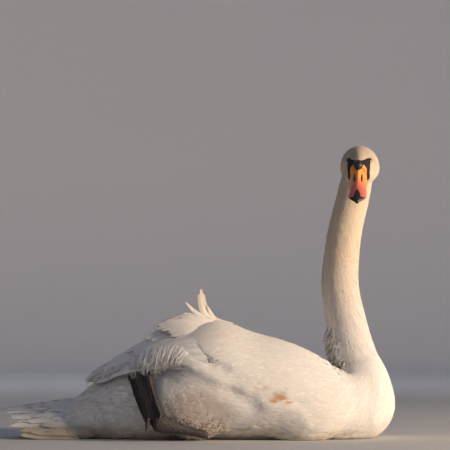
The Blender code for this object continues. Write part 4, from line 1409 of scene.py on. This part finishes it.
def grow_fringe(skin, material):
    """The loose barbs over each foot, along the wing's edges and on the rump."""
    draw = np.random.default_rng(37)
    for word, side in SIDES:
        rows = [comb_strands(skin, side, draw)]
        rows += [barb_strands(skin, side, draw, *line) for line in BARB_LINES]
        strands(f"fringe_{word}", *joined(rows), draw, material)
        strands(f"covert_edge_{word}", *step_strands(skin, side, draw), draw, material)
        strands(f"wisps_{word}", *wisp_strands(skin, side, draw), draw, material)


# The blades that stand off each side of the back: half width, root, middle and tip.
RAISED_BLADES = (
    (0.0050, (-0.036, 0.026, 0.2200), (-0.0790, 0.022, 0.2345), (-0.0960, 0.018, 0.2620)),
    (0.0078, (-0.046, 0.022, 0.2230), (-0.0935, 0.020, 0.2440), (-0.1058, 0.012, 0.2945)),
    (0.0070, (-0.054, 0.026, 0.2230), (-0.0985, 0.024, 0.2440), (-0.1105, 0.015, 0.2925)),
    (0.0056, (-0.060, 0.036, 0.2215), (-0.1087, 0.034, 0.2422), (-0.1368, 0.028, 0.2665)),
    (0.0062, (-0.066, 0.044, 0.2190), (-0.1130, 0.044, 0.2375), (-0.1455, 0.038, 0.2495)),
    (0.0080, (-0.070, 0.050, 0.2180), (-0.1200, 0.052, 0.2385), (-0.1708, 0.048, 0.2364)),
    (0.0082, (-0.075, 0.054, 0.2160), (-0.1250, 0.057, 0.2350), (-0.1787, 0.053, 0.2319)),
    (0.0085, (-0.078, 0.058, 0.2140), (-0.1300, 0.062, 0.2315), (-0.1900, 0.058, 0.2281)),
    (0.0085, (-0.080, 0.064, 0.2110), (-0.1340, 0.069, 0.2270), (-0.1992, 0.063, 0.2224)),
    (0.0082, (-0.082, 0.070, 0.2080), (-0.1340, 0.075, 0.2225), (-0.1940, 0.069, 0.2176)),
    (0.0082, (-0.084, 0.076, 0.2050), (-0.1320, 0.081, 0.2180), (-0.1885, 0.076, 0.2137)),
    (0.0088, (-0.086, 0.084, 0.2030), (-0.1300, 0.090, 0.2120), (-0.1737, 0.087, 0.2097)),
    (0.0088, (-0.086, 0.092, 0.1985), (-0.1280, 0.097, 0.2065), (-0.1686, 0.094, 0.2036)),
    (0.0085, (-0.084, 0.099, 0.1935), (-0.1240, 0.104, 0.2010), (-0.1583, 0.101, 0.1985)),
    (0.0085, (-0.124, 0.056, 0.2120), (-0.1740, 0.064, 0.2120), (-0.2110, 0.066, 0.2025)),
    (0.0088, (-0.130, 0.064, 0.2070), (-0.1800, 0.072, 0.2060), (-0.2218, 0.070, 0.1967)),
    (0.0085, (-0.130, 0.074, 0.2030), (-0.1780, 0.080, 0.2010), (-0.2080, 0.078, 0.1950)),
)


def grow_raised(material):
    """The tertials and scapulars that stand off the back."""
    draw = np.random.default_rng(31)
    for word, side in SIDES:
        up_and_out = np.array((0, side * 0.8, 0.6))
        rows = []
        for half, *line in RAISED_BLADES:
            path = spline(np.array(line) * (1, side, 1), np.linspace(0, 1, 15))
            heading = unit(np.gradient(path, axis=0))
            face = unit(np.cross(unit(np.cross(heading, up_and_out)), heading))
            face = face * np.where(face @ up_and_out > 0, 1, -1)[:, None]
            rows.append((path[None], face[None], [half * draw.uniform(0.94, 1.06)]))
        made = large_feathers(
            f"raised_{word}", *joined(rows), draw, material, tip=0.24, arch=0.12, fray=0.10, root=1.0
        )
        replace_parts(made, *[f"tertial_{k}_{word}" for k in range(1, TERTIALS + 1)])


def tail_point(share, v):
    """A point on the tail's arched upper face: share from root to tip, v from side to side."""
    tip = TAIL_TIP_X + (TAIL_SIDE_TIP_X - TAIL_TIP_X) * np.abs(v) ** 1.6
    x = TAIL_ROOT_X + (tip - TAIL_ROOT_X) * share
    y = v * (TAIL_ROOT_HALF + (TAIL_TIP_HALF - TAIL_ROOT_HALF) * share**0.8)
    ridge = TAIL_ROOT_TOP + (TAIL_TIP_TOP - TAIL_ROOT_TOP) * share
    z = ridge - (ridge - TAIL_SIDE_TOP) * np.abs(v) ** 2.2
    return np.stack(np.broadcast_arrays(x, y, z), -1)


def tail_blades(count, reach, sink, half, spread=1.0):
    """Paths, facings and half widths of a fan of tail feathers, set below the upper face by sink."""
    v = np.linspace(-1, 1, count)[:, None] * spread
    share = np.linspace(0, 1, 14)[None] * reach[:, None]
    path = tail_point(share, v + np.zeros_like(share))
    beside = tail_point(share, v + 0.03) - tail_point(share, v - 0.03)
    normal = unit(np.cross(beside, np.gradient(path, axis=1)))
    normal = normal * np.where(normal[..., 2:] > 0, 1, -1)
    return path - normal * sink[:, None, None], normal, np.full(count, half)


TAIL_FEATHERS, UNDERCOVERTS = 22, 14
# Rows of tail coverts: how many, their reach as a share of the tail, half width and height.
TAIL_COVERTS = (
    (19, 0.76, 0.0100, 0.0010),
    (18, 0.60, 0.0100, 0.0018),
    (17, 0.46, 0.0100, 0.0026),
    (16, 0.33, 0.0100, 0.0032),
)


def grow_tail(material, soiled):
    """The tail's feathers in two layers, and the coverts over and under their roots."""
    draw = np.random.default_rng(41)
    lower = np.arange(TAIL_FEATHERS) % 2
    reach = 1.0 - 0.045 * lower - draw.uniform(0, 0.05, TAIL_FEATHERS)
    sink = 0.0012 + 0.0016 * lower + draw.uniform(0, 0.0006, TAIL_FEATHERS)
    fan = tail_blades(TAIL_FEATHERS, reach, sink, 0.0112)
    made = large_feathers("tail_feathers", *fan, draw, material, tip=0.20, arch=0.06, fray=0.04)
    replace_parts(made, "tail")
    rows = []
    for count, far, half, height in TAIL_COVERTS:
        reach = far * (1 + 0.07 * draw.normal(size=count))
        rows.append(tail_blades(count, reach, draw.normal(0, 0.0003, count) - height, half, 0.97))
    large_feathers("tail_coverts", *joined(rows), draw, material, tip=0.30, arch=0.06, fray=0.12)
    reach = 0.80 + 0.08 * draw.random(UNDERCOVERTS)
    fan = tail_blades(UNDERCOVERTS, reach, np.full(UNDERCOVERTS, 0.012), 0.014, 0.9)
    large_feathers("tail_undercoverts", *fan, draw, soiled, tip=0.24, arch=0.08, fray=0.08)


# ---------------------------------------------------------------- bill, eyes and feet
def bill_rings(ribs, widest, powers, rows, count):
    along, top, bottom, half = spline(ribs, np.linspace(0, 1, rows)).T
    ends = on_head(along, 0, top), on_head(along, 0, bottom)
    power = [np.broadcast_to(p, rows) for p in powers]
    return sections(*ends, LEFTWARD, half, np.full(rows, widest), power, count)


def head_coordinate(paint):
    """The shading point in the head's axes, as separate outputs forward, left and up."""
    moved = paint.shift(EYES_MIDDLE.tolist())
    found = []
    for axis in HEAD_AXES:
        along = paint.node("ShaderNodeVectorMath", operation="DOT_PRODUCT")
        paint.feed(along.inputs[0], moved)
        along.inputs[1].default_value = axis.tolist()
        found.append(along.outputs["Value"])
    return found


# The orange starts ahead of a line that slants forward down the bill's side, stays below
# the knob's foot, and widens from the face towards the tip.
ORANGE_START, ORANGE_SLANT, ORANGE_SLANT_SIDE = 0.0284, 0.30, 0.0105
ORANGE_WIDTH, ORANGE_FLARE, ORANGE_FLARE_START = 0.0162, 0.5, 0.042
ORANGE_TOP = (0.0100, 0.0090)


def orange_area(paint, along, side, up):
    """1 where the horn is orange: it starts on a line that runs forward from the knob to the gape."""
    start = paint.ramp(side, ORANGE_SLANT_SIDE, ORANGE_SLANT, ORANGE_START)
    ahead = paint.span(paint.maths("SUBTRACT", along, start), -0.0005, 0.0006)
    limit = paint.ramp(along, ORANGE_FLARE_START, ORANGE_FLARE, ORANGE_WIDTH)
    within = paint.span(paint.maths("SUBTRACT", side, limit), 0.0006, -0.0002)
    return paint.times(paint.times(ahead, paint.span(up, *ORANGE_TOP)), within)


def horn_colour(paint, along):
    """Orange at the base, turning to rose red towards the tip, finely flecked."""
    colour = paint.mix(paint.span(along, 0.046, 0.084), (0.84, 0.33, 0.080), (0.62, 0.150, 0.125))
    flecks = paint.span(paint.noise(260, 4), 0.45, 0.75)
    return paint.tint(colour, flecks, 0.22, (0.50, 0.14, 0.08))


NOSTRIL_PLACE, NOSTRIL_HALVES = (0.0525, 0.0072), (0.0112, 0.0018)
NOSTRIL_FLOOR, NOSTRIL_DEPTH = -0.018, 0.0036
BLACK_EDGE, BLACK_TIP, TIP_SLANT = (-0.0256, -0.0268), (0.1040, 0.1062), 0.28
GROOVE_HEIGHT, GROOVE_HALF, GROOVE_DEPTH = -0.0235, 0.0016, 0.0005
BLACK_HORN = (0.014, 0.012, 0.012)


def horn_orange():
    """The upper bill's orange, black at its edge, its tip and in the nostrils."""
    paint = Paint("bill_orange_horn", 0.42, 0.5, coat=0.12)
    along, left, up = head_coordinate(paint)
    side = paint.maths("ABSOLUTE", left)
    orange = orange_area(paint, along, side, up)
    edge = paint.span(up, *BLACK_EDGE)
    tip = paint.span(paint.maths("MULTIPLY_ADD", side, TIP_SLANT, along), *BLACK_TIP)
    dark = paint.maths("MAXIMUM", paint.maths("MAXIMUM", edge, paint.maths("SUBTRACT", 1.0, orange)), tip)
    off = [
        paint.maths("POWER", paint.maths("DIVIDE", paint.maths("SUBTRACT", value, middle), half), 2)
        for value, middle, half in zip((along, side), NOSTRIL_PLACE, NOSTRIL_HALVES)
    ]
    slit = paint.span(paint.maths("ADD", *off), 1.0, 0.7)
    slit = paint.times(slit, paint.span(up, NOSTRIL_FLOOR, NOSTRIL_FLOOR + 0.002))
    dark = paint.maths("MAXIMUM", dark, slit)
    grain = paint.noise(420, 3, paint.mapped((1.0, 1.0, 0.4)))
    paint.bump(grain, 0.12, 0.0006)
    return paint.colour(paint.mix(dark, horn_colour(paint, along), BLACK_HORN))


def horn_black(name, roughness=0.5):
    paint = Paint(name, roughness, 0.5, coat=0.05)
    speckle = paint.span(paint.noise(180, 4), 0.4, 0.7)
    paint.bump(paint.noise(520, 4), 0.25, 0.0006)
    return paint.colour(paint.mix(speckle, (0.012, 0.011, 0.011), (0.030, 0.026, 0.024)))


def upper_bill_rings():
    """The upper bill, with its slit nostrils and the groove above its cutting edge."""
    rings = bill_rings(UPPER_BILL_RIBS, 0.22, (np.linspace(1.25, 1.9, 90), 4.5), 90, 72)
    local = in_head(rings)
    along, side, up = local[..., 0], np.abs(local[..., 1]), local[..., 2]
    far = (along - NOSTRIL_PLACE[0]) / NOSTRIL_HALVES[0]
    wide = (side - NOSTRIL_PLACE[1]) / NOSTRIL_HALVES[1]
    slit = np.exp(-(far**4) - wide**2) * (up > NOSTRIL_FLOOR)
    groove = np.exp(-(((up - GROOVE_HEIGHT) / GROOVE_HALF) ** 2)) * ease(0.035, 0.05, along)
    inward = unit(on_head(along, 0, NOSTRIL_FLOOR) - rings)
    return rings + inward * (slit * NOSTRIL_DEPTH + groove * GROOVE_DEPTH)[..., None]


def grow_bill():
    orange, black = horn_orange(), horn_black("bill_black_horn")
    ball = ball_grid(34, 48, 0.02)
    lumps = 1 + 0.03 * ripple(ball, 1.2, 3)[..., None]
    knob = on_head(KNOB_CENTRE[0], 0, KNOB_CENTRE[1]) + (ball * lumps * KNOB_RADII) @ HEAD_AXES
    for word, rings, material, slot in (
        ("upper", upper_bill_rings(), orange, "bill_orange"),
        ("lower", bill_rings(LOWER_BILL_RIBS, 0.75, (3.2, 2.2), 60, 56), black, "bill_black"),
        ("nail", bill_rings(NAIL_RIBS, 0.5, (2.4, 2.4), 40, 40), black, "bill_black"),
        ("knob", knob, black, "bill_black"),
    ):
        made = piece(f"bill_{word}_horn", *closed_tube(rings), material, slot)
        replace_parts(made, f"bill_{word}")


def eye_paint():
    paint = Paint("eye_wet", 0.06, 0.8, coat=1.0)
    flecks = paint.span(paint.noise(400, 3), 0.3, 0.7)
    return paint.colour(paint.mix(flecks, (0.010, 0.006, 0.005), (0.030, 0.016, 0.010)))


LID_LONG, LID_TALL = 0.0034, 0.0033


def eyelid_rings(centre, out, wide, tall):
    """A thin ring round the eyeball, drawn to a point at both corners."""
    around = np.linspace(0, 2 * math.pi, 57)[:-1]
    loop = np.linspace(0, 2 * math.pi, 13)[:-1]
    around, loop = np.meshgrid(around, loop, indexing="ij")
    across = np.cos(around)[..., None]
    corner = np.abs(across) ** 5
    spot = wide * across * LID_LONG * (1 + 0.26 * corner) + tall * np.sin(around)[..., None] * LID_TALL
    sink = out * (0.0036 - 0.0016 * corner)
    radius = 0.0006 + 0.0003 * np.maximum(np.sin(around), 0)[..., None]
    section = unit(spot) * np.cos(loop)[..., None] + out * np.sin(loop)[..., None]
    return centre + sink + spot + section * radius


def grow_eyes():
    """The wet dark eyeballs, each in a thin black lid."""
    wet, lid = eye_paint(), horn_black("eyelid_skin", 0.75)
    ball = ball_grid(26, 32, 0.03)
    for (word, side), centre in zip(SIDES, (EYE_RIGHT, EYE_LEFT)):
        out = unit(LEFTWARD * side * 0.86 + FORWARD * 0.34 + UPWARD * 0.38)
        centre = centre - out * EYE_SINK
        made = piece(f"eyeball_{word}", *closed_tube(centre + ball * EYE_RADIUS), wet, "eye_brown")
        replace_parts(made, f"eye_{word}")
        wide = unit(FORWARD - out * (FORWARD @ out))
        tall = np.cross(out, wide) * side
        tall = tall * np.sign(tall @ UPWARD)
        ring = eyelid_rings(centre, out, wide, tall)
        rows, count = ring.shape[:2]
        quads = lattice(rows + 1, count, True) % (rows * count)
        piece(f"eyelid_{word}", ring.reshape(-1, 3), [quads], lid, "bill_black")


def leg_paint():
    """Grey-black scaly skin. The web attribute runs from 0 on the outer toe to 1 on the brown web."""
    paint = Paint("leg_scales", 0.62, 0.4, coat=0.04)
    cells, web = paint.cells(330), paint.attribute("web")
    colour = paint.mix(paint.span(cells, 0.15, 0.5), (0.085, 0.073, 0.070), (0.028, 0.025, 0.027))
    streaks = paint.noise(60, 4, paint.mapped((1.6, 1.0, 0.45), turn=(0, 0.35, 0)))
    brown = paint.times(web, paint.span(streaks, 0.38, 0.60))
    colour = paint.tint(colour, brown, 0.60, (0.185, 0.120, 0.082))
    pale = paint.times(web, paint.span(streaks, 0.60, 0.72))
    colour = paint.tint(colour, pale, 0.5, (0.46, 0.34, 0.25))
    paint.bump(cells, 0.55, 0.0012)
    return paint.colour(colour)


def grow_shank(word, heel, ankle, root_half, material):
    """The bare shank, thick at the heel and as wide as the foot's root at the ankle."""
    share = np.linspace(0, 1, 70)
    end = np.sqrt(np.maximum(1 - (2 * share - 1) ** 12, 0.25))
    thick = 1 + 0.30 * (1 - share) ** 4 + (root_half / FOOT_ROOT_HALF - 0.45) * ease(0.25, 1, share)
    radius = TARSUS_RADIUS * thick * end * (1 + 0.035 * np.cos(share * 130))
    beyond = unit(ankle - heel) * 0.006
    centre = heel + (ankle + beyond - heel) * share[:, None]
    points, faces = closed_tube(tube(np.column_stack([centre, radius]), 28, 0.70))
    web = np.full(len(points), 0.05)
    made = piece(f"shank_{word}", points, faces, material, "leg_skin", extra={"web": web})
    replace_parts(made, f"tarsus_{word}")


FOOT_COLUMNS = 73


def grow_web(word, side, ankle, root_half, material):
    """The webbed foot: three toes and the skin between them. Returns its middle surface and facing."""
    forward, facing, spread, bend, length_share = LEGS[word][2:]
    forward, facing = unit(np.array(forward, float)), np.array(facing, float)
    facing = unit(facing - forward * (facing @ forward))
    across = np.cross(forward, facing) * side
    share, v = np.meshgrid(np.linspace(0, 1, 72), np.linspace(-1, 1, FOOT_COLUMNS), indexing="ij")
    near = np.where(v < 0, 0, 1)
    mix = np.where(v < 1, v - np.floor(v), 1.0)
    lengths = np.array(TOE_LENGTHS)
    length = lengths[near] * (1 - mix) + lengths[near + 1] * mix
    from_toe = np.abs(v - np.round(v)) * 2
    length = length * length_share * (1 - 0.05 * np.sin(math.pi * from_toe / 2) ** 2)
    reach, turn = length * share, v * spread
    knuckle = (1 + 0.14 * np.cos(6 * math.pi * share)) * (1 + 0.05 * np.cos(share * 150))
    toe = TOE_RADIUS * (1 - 0.5 * share) * knuckle * np.maximum(1 - (from_toe / 0.55) ** 2, 0)
    place = ankle + forward * (reach * np.cos(turn) - 0.004)[..., None]
    half = root_half * (0.45 + 0.55 * ease(0, 0.14, share))
    place = place + across * (reach * np.sin(turn) + v * half)[..., None]
    fold = 0.0013 * np.sin(v * 20 + 3 * share) * ease(0, 0.5, from_toe)
    place = place + facing * (bend * np.sin(math.pi * share) + fold)[..., None]
    thick = (WEB_THICKNESS * 0.30 + toe)[..., None]
    points, faces = closed_slab(place + facing * thick, place - facing * thick)
    brown = ease(0.0, 0.5, from_toe) * ease(0.80, 0.35, v) + 0.35 * ease(0.5, 0.0, v)
    brown = np.tile(np.clip(brown, 0, 1).ravel(), 2)
    made = piece(f"webbed_foot_{word}", points, faces, material, "leg_skin", extra={"web": brown})
    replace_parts(made, f"foot_{word}")
    return place, facing


def grow_claws(word, place, facing, material):
    """A claw at the tip of each toe, curved down."""
    last = FOOT_COLUMNS - 1
    for k, part in ((0, "inner"), (last // 2, "middle"), (last, "outer")):
        tip = place[-1, k]
        along = unit(tip - place[-6, k])
        t = np.linspace(0, 1, 18)
        centre = tip + along * (CLAW_LENGTH * t)[:, None] - facing * (CLAW_LENGTH * 0.18 * t**2)[:, None]
        radius = CLAW_RADIUS * (1 - t) ** 0.7 + 0.0003
        rings = tube(np.column_stack([centre, radius]), 16)
        made = piece(f"horn_claw_{word}_{part}", *closed_tube(rings), material, "claw")
        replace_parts(made, f"claw_{word}_{part}")


def grow_hind_toe(material):
    t = np.linspace(0, 1, 40)
    along = unit(np.array(HALLUX_ALONG))
    centre = np.array(HALLUX_ROOT) + along * (HALLUX_LENGTH * 1.5 * t)[:, None]
    radius = HALLUX_RADIUS * (1 - t**2.2) * (1 + 0.05 * np.cos(t * 60)) + 0.0004
    points, faces = closed_tube(tube(np.column_stack([centre, radius]), 20))
    made = piece("hind_toe_right", points, faces, material, "leg_skin", extra={"web": np.zeros(len(points))})
    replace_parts(made, "hallux_right")


def grow_legs():
    scaly, claw = leg_paint(), horn_black("claw_horn", 0.4)
    for word, side in SIDES:
        heel, ankle = np.array(LEGS[word][0]), np.array(LEGS[word][1])
        grow_shank(word, heel, ankle, FOOT_ROOT_HALVES[word], scaly)
        place, facing = grow_web(word, side, ankle, FOOT_ROOT_HALVES[word], scaly)
        grow_claws(word, place, facing, claw)
    grow_hind_toe(scaly)


THROAT_HEIGHT = 0.490


def black_area(paint, along, side, up):
    """1 on the naked black skin between the eyes and the bill, and round each eye."""
    front = paint.span(paint.maths("MULTIPLY_ADD", along, LORE_SLOPE, up), LORE_START - 0.0008, LORE_START)
    gape = paint.span(along, GAPE_START - 0.0008, GAPE_START)
    gape = paint.times(gape, paint.span(up, GAPE_LOW - 0.001, GAPE_LOW))
    front = paint.maths("MAXIMUM", front, gape)
    low = paint.maths("MULTIPLY_ADD", along, -BROW_SLOPE, up)
    low = paint.span(low, BROW_TOP + 0.0006, BROW_TOP - 0.0002)
    ahead = paint.maths("MULTIPLY_ADD", side, MASK_SLANT, along)
    ahead = paint.span(ahead, MASK_FRONT - 0.0005, MASK_FRONT + 0.0003)
    start = paint.span(along, 0.0004, 0.0012)
    black = paint.times(paint.times(front, start), paint.maths("MAXIMUM", low, ahead))
    round_eye = paint.maths("POWER", paint.maths("DIVIDE", along, LID_HALVES[0]), 2)
    above = paint.maths("DIVIDE", paint.maths("SUBTRACT", up, LID_RISE), LID_HALVES[1])
    round_eye = paint.span(paint.maths("MULTIPLY_ADD", above, above, round_eye), 1.05, 0.9)
    return paint.maths("MAXIMUM", black, paint.times(round_eye, paint.span(side, LID_SIDE - 0.001, LID_SIDE)))


def grow_skin(skin):
    """The skin under the coat, in the coat's colours, bare and black or orange on the face."""
    paint = Paint("skin", 0.8, 0.3)
    along, left, up = head_coordinate(paint)
    side = paint.maths("ABSOLUTE", left)
    on_face = paint.span(paint.part("Z"), THROAT_HEIGHT, THROAT_HEIGHT + 0.002)
    black = paint.times(black_area(paint, along, side, up), on_face)
    orange = paint.times(orange_area(paint, along, side, up), on_face)
    orange = paint.times(orange, paint.span(up, -0.026, -0.0245))
    colour = paint.mix(black, plumage_colour(paint, (0.86, 0.83, 0.80)), BLACK_HORN)
    paint.bump(paint.noise(500, 3), 0.2, 0.0006)
    made = paint.colour(paint.mix(orange, colour, horn_colour(paint, along)))
    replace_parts(piece("skin", skin.points, [skin.triangles], made, "plumage"), *FLESH)


# ---------------------------------------------------------------- stage, lights, camera
def aim(made, place, target):
    """Places a light or camera and turns it to the target."""
    made.location = place
    made.rotation_mode = "QUATERNION"
    made.rotation_quaternion = (Vector(target) - Vector(place)).to_track_quat("-Z", "Y")


STAGE_FLOOR, STAGE_FILLET, STAGE_HEIGHT = 6.2, 1.0, 7.0
STAGE_RINGS = (0.2, 2.0, 4.0)


def set_stage():
    """A pale floor that curves up into a round backdrop."""
    paint = Paint("studio_floor", 0.9, 0.2)
    near = paint.mix(paint.noise(3, 2), (0.47, 0.48, 0.50), (0.50, 0.51, 0.53))
    away = paint.span(paint.length(paint.place), 2.0, 4.0)
    made = paint.colour(paint.mix(away, near, (0.78, 0.80, 0.84)))
    fillet = np.radians(np.linspace(0, 90, 13))
    edge = STAGE_FLOOR + STAGE_FILLET * np.sin(fillet)
    rise = STAGE_FILLET * (1 - np.cos(fillet))
    radius = np.array([*STAGE_RINGS, *edge, STAGE_FLOOR + STAGE_FILLET])[:, None]
    height = np.array([*np.zeros(len(STAGE_RINGS)), *rise, STAGE_HEIGHT])[:, None]
    count = 96
    turn = 2 * math.pi * np.arange(count) / count
    rings = np.stack(np.broadcast_arrays(radius * np.cos(turn), radius * np.sin(turn), height), -1)
    points = np.concatenate([rings.reshape(-1, 3), [(0, 0, 0)]])
    centre = len(points) - 1
    faces = lattice(len(radius), count, True).tolist()
    faces += [(centre, (k + 1) % count, k) for k in range(count)]
    mesh = bpy.data.meshes.new("studio_floor")
    mesh.from_pydata(points, [], faces)
    mesh.shade_smooth()
    mesh.materials.append(made)
    link_object("studio_floor", mesh)


SKY_COLOUR, SKY_STRENGTH = (0.58, 0.69, 0.92, 1), 0.21
LIGHT_TARGET = (0.0, 0.0, 0.22)
# A low warm key from the breast's side, a weak cool front light and a broad one from behind:
# place, diameter, power and colour.
LIGHTS = {
    "key": ((3.3, -1.5, 1.0), 0.7, 205, (1.0, 0.77, 0.555)),
    "front": ((0.5, -3.4, 0.6), 2.0, 4.6, (0.82, 0.89, 1.0)),
    "back": ((-1.2, 4.4, 3.4), 3.0, 14, (0.86, 0.92, 1.0)),
}


def set_lights():
    world = bpy.data.worlds.new("studio")
    bpy.context.scene.world = world
    world.use_nodes = True
    sky = world.node_tree.nodes["Background"]
    sky.inputs["Color"].default_value = SKY_COLOUR
    sky.inputs["Strength"].default_value = SKY_STRENGTH
    for name, (place, size, power, colour) in LIGHTS.items():
        light = bpy.data.lights.new(name, "AREA")
        light.shape, light.size, light.energy, light.color = "DISK", size, power, colour
        aim(link_object(name, light), place, LIGHT_TARGET)
    bpy.context.scene.view_settings.view_transform = "Standard"


# Five metres off the bird's right side and low, with a long lens, looking slightly up.
CAMERA_PLACE, CAMERA_TARGET = (-0.06, -5.0, 0.24), (-0.06, 0.0, 0.424)
CAMERA_LENS, CAMERA_SENSOR = 200, 36


def set_camera():
    camera = link_object("camera", bpy.data.cameras.new("camera"))
    camera.data.lens, camera.data.sensor_width = CAMERA_LENS, CAMERA_SENSOR
    aim(camera, CAMERA_PLACE, CAMERA_TARGET)
    bpy.context.scene.camera = camera


set_stage()
set_lights()
set_camera()
swan_skin = Skin()
grow_skin(swan_skin)
grow_coat(swan_skin)
large = feather_paint("plumage_large", (0.88, 0.87, 0.86))
soiled = feather_paint("plumage_undertail", (0.80, 0.74, 0.66), ((0.34, 0.24, 0.13), 0.6))
grow_wings(large)
grow_fringe(swan_skin, large)
grow_raised(large)
grow_tail(large, soiled)
grow_bill()
grow_eyes()
grow_legs()
